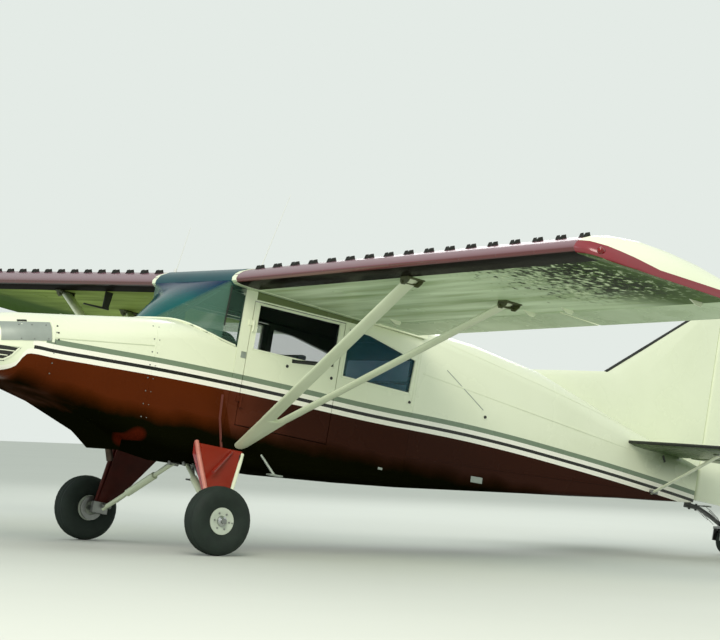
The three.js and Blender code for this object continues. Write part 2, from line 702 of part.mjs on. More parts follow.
// Ring of a bar, slid along the bar until it lies in a plane
function barRing(point, { along, across, up }, front, back, thickness, plane) {
  return bladeSection(front, back, thickness, STRUT.blunt).map(([s, t]) => {
    const corner = point.clone().addScaledVector(across, s).addScaledVector(up, t);
    if (plane) {
      const distance = -plane.distanceToPoint(corner) / plane.normal.dot(along);
      corner.addScaledVector(along, distance);
    }
    return corner.toArray();
  });
}

function underWingPlane() {
  const chordwise = new THREE.Vector3(WING.chord, 0, -WING.washDown);
  const spanwise = new THREE.Vector3(0, 1, 0);
  const normal = spanwise.cross(chordwise).normalize();
  normal.applyAxisAngle(new THREE.Vector3(1, 0, 0), WING.dihedral);
  const root = new THREE.Vector3(WING.rootX, WING.rootY, WING.rootZ).addScaledVector(normal, GAP);
  return new THREE.Plane().setFromNormalAndCoplanarPoint(normal, root);
}

function buildStruts() {
  const { foot, cuff, frontTop, rearTop, chord, rearChord, thickness, slim, rearThickness } = STRUT;
  const under = underWingPlane();
  const start = new THREE.Vector3(...foot);
  const onWing = ([x, y]) => new THREE.Vector3(x, y, wingUnderside(x, y));
  const top = onWing(frontTop);
  const axes = barAxes(start, top);
  const at = (share) => start.clone().lerp(top, share);
  const side = new THREE.Plane(new THREE.Vector3(0, 1, 0), -(CABIN[0][1] + GAP));
  const half = chord / 2;
  const front = loft([
    barRing(start, axes, -half, half, thickness, side),
    barRing(at(cuff.end), axes, -half, cuff.back, thickness),
    barRing(at(cuff.end + cuff.step), axes, -half, half, slim),
    barRing(top, axes, -half, half, slim, under),
  ]);
  placePair('strut_front', front, PAINT.cream);

  const cuffEnd = at(cuff.end + cuff.step).addScaledVector(axes.along, GAP);
  const rearStart = at(cuff.end).addScaledVector(axes.across, cuff.back - rearChord / 2);
  const rearEnd = onWing(rearTop);
  const rearAxes = barAxes(rearStart, rearEnd);
  const face = new THREE.Plane().setFromNormalAndCoplanarPoint(axes.along, cuffEnd);
  const rear = loft([
    barRing(rearStart, rearAxes, -rearChord / 2, rearChord / 2, rearThickness, face),
    barRing(rearEnd, rearAxes, -rearChord / 2, rearChord / 2, rearThickness, under),
  ]);
  placePair('strut_rear', rear, PAINT.cream);
}

// The fuselage's outer shape with the standing gap round it
function fuselageSpace() {
  return grown(join(hull(BOOT_COWL), hull(CABIN).translate(-2, 0, 0)));
}

// A copy of a shape swollen by the standing gap along each axis, for cutting its neighbour
function grown(geometry) {
  const moves = [[GAP, 0, 0], [-GAP, 0, 0], [0, GAP, 0], [0, -GAP, 0], [0, 0, GAP], [0, 0, -GAP]];
  return join(...moves.map((move) => geometry.clone().translate(...move)));
}

function buildGear() {
  const leg = loft(GEAR_LEG.map(([z, inward, outward, ahead, behind]) => [
    [ahead, inward, z], [ahead + LEG_EDGE.front, outward, z],
    [behind - LEG_EDGE.back, outward, z], [behind, inward, z],
  ]));
  placePair('gear_leg', leg, PAINT.maroon);

  const { y, radius, width, rim } = MAIN_WHEEL;
  const { front, back, inner, outer, bottom, top } = KNUCKLE;
  const axle = join(
    box(front, back, inner, outer, bottom, top - GAP),
    rod([0, inner + AXLE.root, 0], [0, y + width / 2 + AXLE.past, 0], AXLE.radius, AXLE.radius, 20));
  placePair('axle', axle, PAINT.steel);

  const shock = join(
    rod(SHOCK.upper, SHOCK.lower, SHOCK.radius),
    rod(SHOCK_SLEEVE.upper, SHOCK_SLEEVE.lower, SHOCK_SLEEVE.radius),
    rod(SHOCK.lower, SHOCK.end, SHOCK.radius));
  placePair('shock_strut', cut(shock, grown(axle), grown(leg), fuselageSpace()), PAINT.steel);

  placePair('main_wheel', wheel(y, width, rim, AXLE.radius + RUNNING_GAP), PAINT.hub);
  placePair('main_tyre', tyre(y, radius, width, rim), PAINT.rubber);
}

// Turned body about the axis along y, from a closed outline of radius and distance along
function turned(outline, y, segments = 40) {
  const points = outline.map(([radius, along]) => new THREE.Vector2(radius, along));
  points.push(points[0].clone());
  return new THREE.LatheGeometry(points, segments).translate(0, y, 0);
}

function wheel(y, width, rim, bore) {
  const half = width * 0.36;
  return turned([
    [bore, -half * 0.8], [rim * 0.55, -half * 0.8], [rim * 0.72, -half], [rim, -half], [rim, half],
    [rim * 0.72, half], [rim * 0.55, half * 0.9], [bore, half * 0.9],
  ], y, 32);
}

function tyre(y, radius, width, rim) {
  const half = width / 2;
  const inner = rim + GAP;
  return turned([
    [inner, -half * 0.66], [radius * 0.62, -half * 0.97], [radius * 0.82, -half * 0.95],
    [radius * 0.95, -half * 0.66], [radius, -half * 0.25], [radius, half * 0.25],
    [radius * 0.95, half * 0.66], [radius * 0.82, half * 0.95], [radius * 0.62, half * 0.97],
    [inner, half * 0.66],
  ], y);
}

function buildFin() {
  const rings = FIN.map(([z, front, thickness]) => (
    bladeSection(front, FIN_BACK.x, thickness, FIN_BACK.thickness).map(([x, y]) => [x, y, z])));
  const { heights, half, halfHeight, root } = FIN_BRACKET;
  const hingeNose = RUDDER_HINGE.x - RUDDER_HINGE.radius - RUNNING_GAP;
  const brackets = heights.map((z) => (
    box(FIN_BACK.x - root, hingeNose, -half, half, z - halfHeight, z + halfHeight)));
  const fin = join(loft(rings), ...brackets);
  place('fin', cut(fin, grown(hull(AFT_BODY))), PAINT.cream);
  const rudder = loft(RUDDER.map(([z, chord]) => (
    flapSection(RUDDER_HINGE.x, chord, RUDDER_HINGE.radius).map(([x, y]) => [x, y, z]))));
  place('rudder', rudder, PAINT.cream);
}

function buildTailplane() {
  const { z, thickness, back, backThickness, sections } = TAILPLANE;
  const rings = sections.map(([y, front, share]) => (
    bladeSection(front, back, thickness * share, backThickness).map(([x, up]) => [x, y, z + up])));
  const { places, half, halfHeight, root } = TAIL_BRACKET;
  const hingeNose = ELEVATOR_HINGE.x - ELEVATOR_HINGE.radius - RUNNING_GAP;
  const brackets = places.map((y) => (
    box(back - root, hingeNose, y - half, y + half, z - halfHeight, z + halfHeight)));
  const plane = join(loft(rings), ...brackets);
  placePair('tailplane', cut(plane, grown(hull(AFT_BODY))), PAINT.cream);
  const elevator = loft(ELEVATOR.map(([y, chord]) => (
    flapSection(ELEVATOR_HINGE.x, chord, ELEVATOR_HINGE.radius).map(([x, up]) => [x, y, z + up]))));
  placePair('elevator', elevator, PAINT.cream);
  const foot = new THREE.Vector3(...TAIL_BRACE.foot);
  const top = new THREE.Vector3(...TAIL_BRACE.top, z - thickness / 2 + TAIL_BRACE.sink);
  const axes = barAxes(foot, top);
  const halfChord = TAIL_BRACE.chord / 2;
  const ends = [foot, top];
  const brace = loft(ends.map((end) => barRing(end, axes, -halfChord, halfChord, TAIL_BRACE.thickness)));
  placePair('tail_brace', cut(brace, grown(hull(AFT_BODY)), grown(plane)), PAINT.cream);
}

function buildTailWheel() {
  const { half, thickness, line } = TAIL_SPRING;
  const spring = loft(line.map(([x, z]) => [
    [x, -half, z + thickness], [x, half, z + thickness], [x, half, z], [x, -half, z]]));
  place('tail_spring', cut(spring, grown(hull(AFT_BODY))), PAINT.steel);

  const { x, z, radius, width, rim } = TAIL_WHEEL;
  const { crown, pivot, inner, outer, bottom, top, arm, end, below, pin } = TAIL_FORK;
  const crownPlate = box(...crown, -outer, outer, bottom, top);
  const stem = rod([pivot.x, 0, bottom + 6], [pivot.x, 0, pivot.top], pivot.radius);
  const armPlate = box(arm, x + end, inner, outer, z - below, top);
  const axle = rod([x, -outer, z], [x, outer, z], pin);
  place('tail_fork', join(crownPlate, stem, armPlate, mirrored(armPlate), axle), PAINT.steel);
  const hub = wheel(0, width, rim + 1, pin + RUNNING_GAP);
  place('tail_wheel', join(hub, tyre(0, radius, width, rim)).translate(x, 0, z), PAINT.rubber);
}

function buildPropeller() {
  const { back, tip, radius, fullness } = SPINNER;
  const length = back - tip;
  const outline = [new THREE.Vector2(0, 0), new THREE.Vector2(radius, 0)];
  for (let step = 1; step <= 8; step += 1) {
    const along = step / 8;
    outline.push(new THREE.Vector2(radius * Math.sqrt(1 - along ** fullness), length * along));
  }
  outline[outline.length - 1].x = 0;
  const dome = new THREE.LatheGeometry(outline, 32).rotateZ(Math.PI / 2).translate(back, 0, THRUST_Z);

  const rings = PROPELLER.blade.map(([distance, chord, thickness, pitch]) => {
    const angle = THREE.MathUtils.degToRad(pitch);
    return bladeSection(-chord / 2, chord / 2, thickness, thickness * 0.3).map(([s, t]) => [
      PROPELLER.x + s * Math.sin(angle) + t * Math.cos(angle),
      s * Math.cos(angle) - t * Math.sin(angle),
      distance,
    ]);
  });
  const upper = loft(rings);
  const lower = upper.clone().rotateX(Math.PI);
  const { hub: boss } = PROPELLER;
  const hub = rod([back + boss.back, 0, 0], [PROPELLER.x - boss.front, 0, 0], boss.radius, boss.radius, 24);
  const blades = join(upper, lower, hub).translate(0, 0, THRUST_Z);
  place('propeller', blades, PAINT.steel);
  place('spinner', cut(dome, grown(blades)), PAINT.cream);
}

buildNose();
buildCabin();
buildAftBody();
buildDoors();
buildWindshield();
buildInterior();
buildWings();
buildStruts();
buildGear();
buildFin();
buildTailplane();
buildTailWheel();
buildPropeller();

level.rotation.y = GROUND_PITCH;
const extent = new THREE.Box3().setFromObject(aircraft, true);
level.position.set(-(extent.min.x + extent.max.x) / 2, 0, -extent.min.z);

export default aircraft;
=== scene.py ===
import json
import math

import bmesh
import bpy
from mathutils import Matrix, Vector
from mathutils.bvhtree import BVHTree


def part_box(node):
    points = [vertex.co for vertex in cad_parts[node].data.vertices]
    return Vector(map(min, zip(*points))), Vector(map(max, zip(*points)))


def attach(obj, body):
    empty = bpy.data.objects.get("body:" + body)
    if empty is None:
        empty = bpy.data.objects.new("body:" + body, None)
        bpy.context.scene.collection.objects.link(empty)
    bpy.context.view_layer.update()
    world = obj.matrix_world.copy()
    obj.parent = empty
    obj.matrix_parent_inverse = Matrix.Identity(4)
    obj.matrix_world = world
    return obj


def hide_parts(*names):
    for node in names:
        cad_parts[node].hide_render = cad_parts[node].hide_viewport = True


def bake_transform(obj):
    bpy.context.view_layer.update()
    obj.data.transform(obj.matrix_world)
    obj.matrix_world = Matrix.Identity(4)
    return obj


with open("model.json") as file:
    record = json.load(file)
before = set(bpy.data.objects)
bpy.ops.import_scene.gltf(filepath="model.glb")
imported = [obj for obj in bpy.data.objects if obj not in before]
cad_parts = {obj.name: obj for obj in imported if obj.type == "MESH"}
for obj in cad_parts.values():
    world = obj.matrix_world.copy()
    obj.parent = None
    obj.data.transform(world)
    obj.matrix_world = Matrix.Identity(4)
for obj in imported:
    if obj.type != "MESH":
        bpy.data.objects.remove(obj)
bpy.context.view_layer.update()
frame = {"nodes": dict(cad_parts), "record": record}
record = frame["record"]

# The aircraft is drawn in its level flying attitude, in metres, with the origin midway between
# the main wheels, +X aft, +Y starboard and +Z up. It stands nose high on its tailwheel,
# so every new piece is turned onto the wheels.
stance = {"tailWheel": (5.385, 0.662)}
wingShape = {
    "root": (0.032, 0.545, 1.655), "dihedral": 1.65, "chord": 1.6, "length": 3.765, "washDown": 0.052,
}


def middleOf(node):
    low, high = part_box(node)
    return (low + high) / 2


mainAxle = (middleOf("main_wheel_left") + middleOf("main_wheel_right")) / 2
tailAxle = middleOf("tail_wheel")
tailX, tailZ = stance["tailWheel"]
pitch = math.atan2(tailZ, tailX) - math.atan2(tailAxle.z - mainAxle.z, tailAxle.x - mainAxle.x)
toGround = Matrix.Translation(mainAxle) @ Matrix.Rotation(pitch, 4, "Y")
toLevel = toGround.inverted()


# A wing's own measures: x back from its nose, y out from its root, z up
def wingFrame(side):
    rootX, rootY, rootZ = wingShape["root"]
    lift = Matrix.Rotation(math.radians(side * wingShape["dihedral"]), 4, "X")
    return toGround @ Matrix.Translation((rootX, side * rootY, rootZ)) @ lift


# Camera: a long lens, a little above the wheels, off the left side of the nose
view = {
    "place": (-11.3803, -16.6396, 0.9081),
    "turn": (92.2678, -2.4612, -34.1089),
    "lens": 135.44,
    "sensor": 36,
    "far": 400,
}


def makeCamera():
    camera = bpy.data.objects.new("camera", bpy.data.cameras.new("camera"))
    camera.location = view["place"]
    camera.rotation_euler = [math.radians(a) for a in view["turn"]]
    camera.data.lens = view["lens"]
    camera.data.sensor_width = view["sensor"]
    camera.data.sensor_fit = "HORIZONTAL"
    camera.data.clip_end = view["far"]
    bpy.context.scene.collection.objects.link(camera)
    bpy.context.scene.camera = camera


makeCamera()
print("camera set")

# Materials


def linear(hexColour):
    parts = [int(hexColour[i:i + 2], 16) / 255 for i in (1, 3, 5)]
    return [c / 12.92 if c <= 0.04045 else ((c + 0.055) / 1.055) ** 2.4 for c in parts] + [1.0]


# Adds one node; an input is a value, or a (node, output) pair to link
def addNode(tree, kind, inputs=None, **settings):
    node = tree.nodes.new(kind)
    for key, value in settings.items():
        setattr(node, key, value)
    for key, value in (inputs or {}).items():
        socket = node.inputs[key]
        if isinstance(value, tuple) and isinstance(value[0], bpy.types.Node):
            tree.links.new(value[0].outputs[value[1]], socket)
        else:
            socket.default_value = value
    return node


# The range that a value is read in, and what it becomes at either end
def span(low=0.0, high=1.0, start=0.0, end=1.0):
    return {"From Min": low, "From Max": high, "To Min": start, "To Max": end}


def newMaterial(name, **values):
    material = bpy.data.materials.new(name)
    material.use_nodes = True
    tree = material.node_tree
    shader = tree.nodes["Principled BSDF"]
    for key, value in values.items():
        shader.inputs[key.replace("_", " ")].default_value = value
    return material, tree, shader


# Links colour, roughness and relief to a shader
def dressShader(tree, shader, colour, rough, height=None, strength=0.1, distance=0.001):
    tree.links.new(colour[0].outputs[colour[1]], shader.inputs["Base Color"])
    if rough:
        tree.links.new(rough[0].outputs[rough[1]], shader.inputs["Roughness"])
    if height:
        relief = addNode(tree, "ShaderNodeBump", {
            "Height": height, "Strength": strength, "Distance": distance})
        tree.links.new(relief.outputs[0], shader.inputs["Normal"])


# A finish that is one colour with cloudy variation; grain is its finest size in metres
def finishOf(name, colour, shade, roughness, cloud, grain, bump, spread=0.06, **values):
    material, tree, shader = newMaterial(name, **values)
    place = addNode(tree, "ShaderNodeTexCoord")
    noise = addNode(tree, "ShaderNodeTexNoise", {
        "Vector": (place, "Object"), "Scale": 1 / cloud, "Detail": 6.0})
    mix = addNode(tree, "ShaderNodeMix", {
        "Factor": (noise, "Fac"), 6: linear(shade), 7: linear(colour)}, data_type="RGBA")
    rough = addNode(tree, "ShaderNodeMapRange", {
        "Value": (noise, "Fac"), "To Min": roughness + spread, "To Max": roughness - spread})
    fine = addNode(tree, "ShaderNodeTexNoise", {
        "Vector": (place, "Object"), "Scale": 1 / grain, "Detail": 3.0})
    dressShader(tree, shader, (mix, 2), (rough, 0), (fine, "Fac"), bump, grain / 4)
    return material


paints = {
    "cream": "#ecf2d9", "creamShade": "#e0e7cb", "maroon": "#582304", "maroonShade": "#491b02",
    "maroonShadedAft": "#31150a", "bellyShade": "#0b0c03", "white": "#f4f3e6", "grey": "#74866f", "black": "#15150e",
    "underside": "#d9eacc", "undersideShade": "#97ad80", "olive": "#a6bb66", "oliveShade": "#71823f",
    "rootShade": "#66734a", "tailUnder": "#48612f", "tailUnderShade": "#33461f",
    "speck": "#131b0a", "paleSpeck": "#c9d6b4", "redPatch": "#4d170a", "dust": "#6d3a2b",
    "band": "#561417", "bandTop": "#7a5762", "bandUnder": "#120f09", "tipRed": "#7c1f29", "inside": "#20261f",
    "teal": "#0e5258", "tealShade": "#0b3442", "tealLight": "#126c66", "paleTint": "#4f7263",
    "navy": "#082c4c", "rubber": "#29352e", "rubberDust": "#121916", "cloth": "#515a68",
    "clothShade": "#343b45",
}
# Height of the red paint's upper edge along the body
redEdge = [
    (-2.0, 0.70), (-1.70, 0.712), (-1.543, 0.731), (-1.47, 0.755), (-1.415, 0.80), (-1.364, 0.879),
    (-1.30, 0.888), (-1.2, 0.887), (-0.9, 0.897), (-0.25, 0.918), (0.6, 0.924), (1.3, 0.923), (2.5, 0.95),
    (3.5, 0.935), (4.44, 0.90), (5.0, 0.87),
]
# Stripes over the red: colour, start and end over its edge, where each begins along the body
stripes = [
    ("white", 0.0, 0.034, -3.0), ("black", 0.034, 0.058, -1.33), ("white", 0.058, 0.09, -1.34),
    ("grey", 0.09, 0.126, -1.25),
]


def levelPlace(tree):
    place = addNode(tree, "ShaderNodeTexCoord")
    mapping = addNode(tree, "ShaderNodeMapping", {
        "Vector": (place, "Object"), "Location": toLevel.translation,
        "Rotation": tuple(toLevel.to_euler())})
    return mapping, addNode(tree, "ShaderNodeSeparateXYZ", {"Vector": (mapping, 0)})


# Curve of height over x, as a node
def heightCurve(tree, split, points, bottom, top):
    low, high = points[0][0], points[-1][0]
    along = addNode(tree, "ShaderNodeMapRange", {"Value": (split, "X"), "From Min": low, "From Max": high})
    curve = addNode(tree, "ShaderNodeFloatCurve", {"Value": (along, 0)})
    dots = curve.mapping.curves[0].points
    places = [((x - low) / (high - low), (z - bottom) / (top - bottom)) for x, z in points]
    dots[0].location, dots[1].location = places[0], places[-1]
    for spot in places[1:-1]:
        dots.new(*spot)
    curve.mapping.update()
    return addNode(tree, "ShaderNodeMapRange", {"Value": (curve, 0), "To Min": bottom, "To Max": top})


# 1 where a (node, output) pair lies between two values
def between(tree, value, low, high):
    return addNode(tree, "ShaderNodeMath", {
        0: value, 1: (low + high) / 2, 2: (high - low) / 2}, operation="COMPARE")


# Where the body's outside paint stops: on the inner walls, which taper in towards both ends,
# and over the doors. A taper is a slope and a start.
cabinWalls = {
    "taperAft": (0.058, -0.0603), "taperFore": (-0.26, 0.044), "half": 0.520, "along": (0.03, 1.748),
    "up": (0.56, 1.60), "overDoors": 1.588, "doors": (0.262, 1.24),
}


# 1 on the inner faces of the cabin's walls
def insideCabin(tree, split):
    across = addNode(tree, "ShaderNodeMath", {0: (split, "Y")}, operation="ABSOLUTE")
    aft, fore = [
        addNode(tree, "ShaderNodeMath", {0: (split, "X"), 1: slope, 2: start}, operation="MULTIPLY_ADD")
        for slope, start in (cabinWalls["taperAft"], cabinWalls["taperFore"])]
    taper = addNode(tree, "ShaderNodeMath", {0: (aft, 0), 1: (fore, 0)}, operation="MAXIMUM")
    taper = addNode(tree, "ShaderNodeMath", {0: (taper, 0), 1: 0.0}, operation="MAXIMUM")
    reach = addNode(tree, "ShaderNodeMath", {0: (across, 0), 1: (taper, 0)}, operation="ADD")
    inner = addNode(tree, "ShaderNodeMath", {0: (reach, 0), 1: cabinWalls["half"]}, operation="LESS_THAN")
    along = between(tree, (split, "X"), *cabinWalls["along"])
    up = between(tree, (split, "Z"), *cabinWalls["up"])
    both = addNode(tree, "ShaderNodeMath", {0: (along, 0), 1: (up, 0)}, operation="MULTIPLY")
    return addNode(tree, "ShaderNodeMath", {0: (both, 0), 1: (inner, 0)}, operation="MULTIPLY")


# 1 on the strip of wall between the doors' top rail and the wing's root, where the wing's shadow is painted
def wingShadowStrip(tree, split):
    high = addNode(tree, "ShaderNodeMath", {
        0: (split, "Z"), 1: cabinWalls["overDoors"]}, operation="GREATER_THAN")
    along = between(tree, (split, "X"), *cabinWalls["doors"])
    return addNode(tree, "ShaderNodeMath", {0: (high, 0), 1: (along, 0)}, operation="MULTIPLY")


# Places along and up the body in metres. Clouds are 450 mm across, streaks 250 mm, ripples 140 mm.
bodyPaint = {
    "cloud": 2.2, "streak": 4.0, "ripple": 7.0, "darkerAft": span(0.0, 0.6), "dustSlant": 0.39,
    "dustFrom": span(0.47, 0.485), "dustFade": span(0.55, 1.0, 0.8, 0.0), "bellyShadeWander": 0.12,
    "bellyShade": span(-0.14, -0.27), "chin": span(-0.7, -1.6, 0.0, 0.16), "redPatch": (-0.46, 0.48),
    "redPatchScale": 15.0, "redPatchEdge": span(1.3, 0.4, 0.0, 0.85), "tailShadowAlong": span(4.1, 4.55),
    "tailShadowUp": span(1.0, 1.22), "tailShadowTop": 1.245, "tailShadowMost": 0.9, "gloss": 0.4, "coat": 0.2,
    "redGloss": span(start=0.06, end=0.02), "bend": span(start=1.5, end=1.04),
    "rough": span(start=0.34, end=0.2), "bellyShadeRough": 0.85, "rippleStrength": 0.25, "rippleDepth": 0.004,
}


# Butyrate dope on polyester cloth and on sheet: cream above, deep red below, pinstripes between.
# It gives a deep even gloss, with slow ripples between the stringers.
def bodyEnamel():
    material, tree, shader = newMaterial("body enamel", Coat_Roughness=0.08)
    mapping, split = levelPlace(tree)
    edge = heightCurve(tree, split, redEdge, 0.65, 1.0)
    above = addNode(tree, "ShaderNodeMath", {0: (split, "Z"), 1: (edge, 0)}, operation="SUBTRACT")
    cloud = addNode(tree, "ShaderNodeTexNoise", {
        "Vector": (mapping, 0), "Scale": bodyPaint["cloud"], "Detail": 5.0})
    upper, lower = [
        addNode(tree, "ShaderNodeMix", {
            "Factor": (cloud, "Fac"), 6: linear(paints[shade]), 7: linear(paints[light])}, data_type="RGBA")
        for shade, light in (("creamShade", "cream"), ("maroonShade", "maroon"))]
    # Painted shade: the red is darker aft, where the flat sides face away from the light
    aft = addNode(tree, "ShaderNodeMapRange", {"Value": (split, "X"), **bodyPaint["darkerAft"]})
    streak = addNode(tree, "ShaderNodeTexNoise", {
        "Vector": (mapping, 0), "Scale": bodyPaint["streak"], "Detail": 6.0})
    # Dust on the panels behind the door post, streaked and fading towards the tail
    slant = addNode(tree, "ShaderNodeMath", {
        0: (split, "Z"), 1: bodyPaint["dustSlant"], 2: (split, "X")}, operation="MULTIPLY_ADD")
    begun = addNode(tree, "ShaderNodeMapRange", {"Value": (slant, 0), **bodyPaint["dustFrom"]})
    fading = addNode(tree, "ShaderNodeMapRange", {"Value": (slant, 0), **bodyPaint["dustFade"]})
    dusty = addNode(tree, "ShaderNodeMath", {0: (begun, 0), 1: (fading, 0)}, operation="MULTIPLY")
    dusty = addNode(tree, "ShaderNodeMath", {0: (dusty, 0), 1: (streak, "Fac")}, operation="MULTIPLY")
    # Painted shade, darker from the belly up and higher on the chin
    shadeLevel = addNode(tree, "ShaderNodeMath", {
        0: (streak, "Fac"), 1: bodyPaint["bellyShadeWander"], 2: (above, 0)}, operation="MULTIPLY_ADD")
    chin = addNode(tree, "ShaderNodeMapRange", {"Value": (split, "X"), **bodyPaint["chin"]})
    shadeLevel = addNode(tree, "ShaderNodeMath", {0: (shadeLevel, 0), 1: (chin, 0)}, operation="SUBTRACT")
    bellyShade = addNode(tree, "ShaderNodeMapRange", {"Value": (shadeLevel, 0), **bodyPaint["bellyShade"]})
    # A redder patch beside the cooling outlet, laid over the belly's painted shade
    scale = bodyPaint["redPatchScale"]
    along, up = [
        addNode(tree, "ShaderNodeMath", {
            0: (split, axis), 1: scale, 2: -spot * scale}, operation="MULTIPLY_ADD")
        for axis, spot in zip("XZ", bodyPaint["redPatch"])]
    square = addNode(tree, "ShaderNodeMath", {0: (along, 0), 1: (along, 0)}, operation="MULTIPLY")
    away = addNode(tree, "ShaderNodeMath", {
        0: (up, 0), 1: (up, 0), 2: (square, 0)}, operation="MULTIPLY_ADD")
    redPatch = addNode(tree, "ShaderNodeMapRange", {"Value": (away, 0), **bodyPaint["redPatchEdge"]})
    for factor, colour in ((aft, "maroonShadedAft"), (dusty, "dust"), (bellyShade, "bellyShade"), (redPatch, "redPatch")):
        lower = addNode(tree, "ShaderNodeMix", {
            "Factor": (factor, 0), 6: (lower, 2), 7: linear(paints[colour])}, data_type="RGBA")
    # Painted shade: the wing's shadow on the strip under its root, and the tailplane's shadow on the side
    # beneath it
    behind = addNode(tree, "ShaderNodeMapRange", {
        "Value": (split, "X"), **bodyPaint["tailShadowAlong"]}, interpolation_type="SMOOTHSTEP")
    beneath = addNode(tree, "ShaderNodeMapRange", {
        "Value": (split, "Z"), **bodyPaint["tailShadowUp"]}, interpolation_type="SMOOTHSTEP")
    top = addNode(tree, "ShaderNodeMath", {0: (split, "Z"), 1: bodyPaint["tailShadowTop"]}, operation="LESS_THAN")
    tailShadow = addNode(tree, "ShaderNodeMath", {0: (behind, 0), 1: (beneath, 0)}, operation="MULTIPLY")
    tailShadow = addNode(tree, "ShaderNodeMath", {0: (tailShadow, 0), 1: (top, 0)}, operation="MULTIPLY")
    tailShadow = addNode(tree, "ShaderNodeMath", {
        0: (tailShadow, 0), 1: bodyPaint["tailShadowMost"]}, operation="MULTIPLY")
    for factor, colour in ((wingShadowStrip(tree, split), "rootShade"), (tailShadow, "tailUnder")):
        upper = addNode(tree, "ShaderNodeMix", {
            "Factor": (factor, 0), 6: (upper, 2), 7: linear(paints[colour])}, data_type="RGBA")
    over = addNode(tree, "ShaderNodeMath", {0: (above, 0), 1: 0.0}, operation="GREATER_THAN")
    paint = addNode(tree, "ShaderNodeMix", {
        "Factor": (over, 0), 6: (lower, 2), 7: (upper, 2)}, data_type="RGBA")
    for colour, low, high, start in stripes:
        inside = between(tree, (above, 0), low, high)
        begun = addNode(tree, "ShaderNodeMath", {0: (split, "X"), 1: start}, operation="GREATER_THAN")
        shown = addNode(tree, "ShaderNodeMath", {0: (inside, 0), 1: (begun, 0)}, operation="MULTIPLY")
        paint = addNode(tree, "ShaderNodeMix", {
            "Factor": (shown, 0), 6: (paint, 2), 7: linear(paints[colour])}, data_type="RGBA")
    paint = addNode(tree, "ShaderNodeMix", {
        "Factor": (insideCabin(tree, split), 0), 6: (paint, 2), 7: linear(paints["inside"])},
        data_type="RGBA")
    # The red has little gloss, and none where the belly's painted shade lies
    dull = addNode(tree, "ShaderNodeMapRange", {"Value": (bellyShade, 0), **bodyPaint["redGloss"]})
    shine = addNode(tree, "ShaderNodeMix", {"Factor": (over, 0), 2: (dull, 0), 3: bodyPaint["gloss"]})
    coat = addNode(tree, "ShaderNodeMath", {0: (over, 0), 1: bodyPaint["coat"]}, operation="MULTIPLY")
    bend = addNode(tree, "ShaderNodeMapRange", {"Value": (bellyShade, 0), **bodyPaint["bend"]})
    for node, socket in ((shine, "Specular IOR Level"), (coat, "Coat Weight"), (bend, "IOR")):
        tree.links.new(node.outputs[0], shader.inputs[socket])
    rough = addNode(tree, "ShaderNodeMapRange", {"Value": (cloud, "Fac"), **bodyPaint["rough"]})
    rough = addNode(tree, "ShaderNodeMix", {
        "Factor": (bellyShade, 0), 2: (rough, 0), 3: bodyPaint["bellyShadeRough"]})
    ripple = addNode(tree, "ShaderNodeTexNoise", {
        "Vector": (mapping, 0), "Scale": bodyPaint["ripple"], "Detail": 2.0})
    dressShader(tree, shader, (paint, 2), (rough, 0), (ripple, "Fac"), bodyPaint["rippleStrength"],
                bodyPaint["rippleDepth"])
    return material


# Places back from the nose, out from the root and up, in metres; a turn is the upward part of the
# way a face points. Clouds are 500 mm across, specks 45 mm.
wingPaint = {
    "cloud": 2.0, "streak": (9.0, 0.7, 1.0), "streakSharp": span(0.3, 0.7), "speck": 22.0,
    "speckThin": span(1.9, 3.2, 0.3, 0.0), "speckCut": span(0.42, 0.53, 0.0, 0.93),
    "speckEnd": span(3.5, 3.75, 1.0, 0.3), "paleFrom": span(2.1, 2.8), "paleCut": span(0.41, 0.37),
    "greenBack": span(0.8, 1.15, 1.0, 0.0), "greenFrom": span(2.2, 3.0, 0.0, 0.5),
    "greenTip": span(2.8, 3.4), "bandUnder": 0.2, "bandOver": 0.36, "lipHeight": 0.036, "underLine": 0.006,
    "tipLap": 0.004, "tipEdge": span(0.0, 0.5, 0.085, 0.006), "tipTurn": span(0.0, 0.5, -0.95, -0.75),
    "litTopTurn": span(-0.1, 0.75), "shadeUnderTurn": span(-0.3, -0.6), "glossTurn": span(-0.8, -0.3, 0.01, 0.5),
    "wornTurn": span(0.6, 0.92, 1.0, 0.15), "rough": span(start=0.3, end=0.18), "farRough": 0.7,
    "ribPitch": 0.3765, "rivetPitch": 0.03, "rivetSize": 0.006, "sparLines": (0.25, 0.62, 1.1),
    "rivetStrength": 0.5, "rivetHeight": 0.002,
}


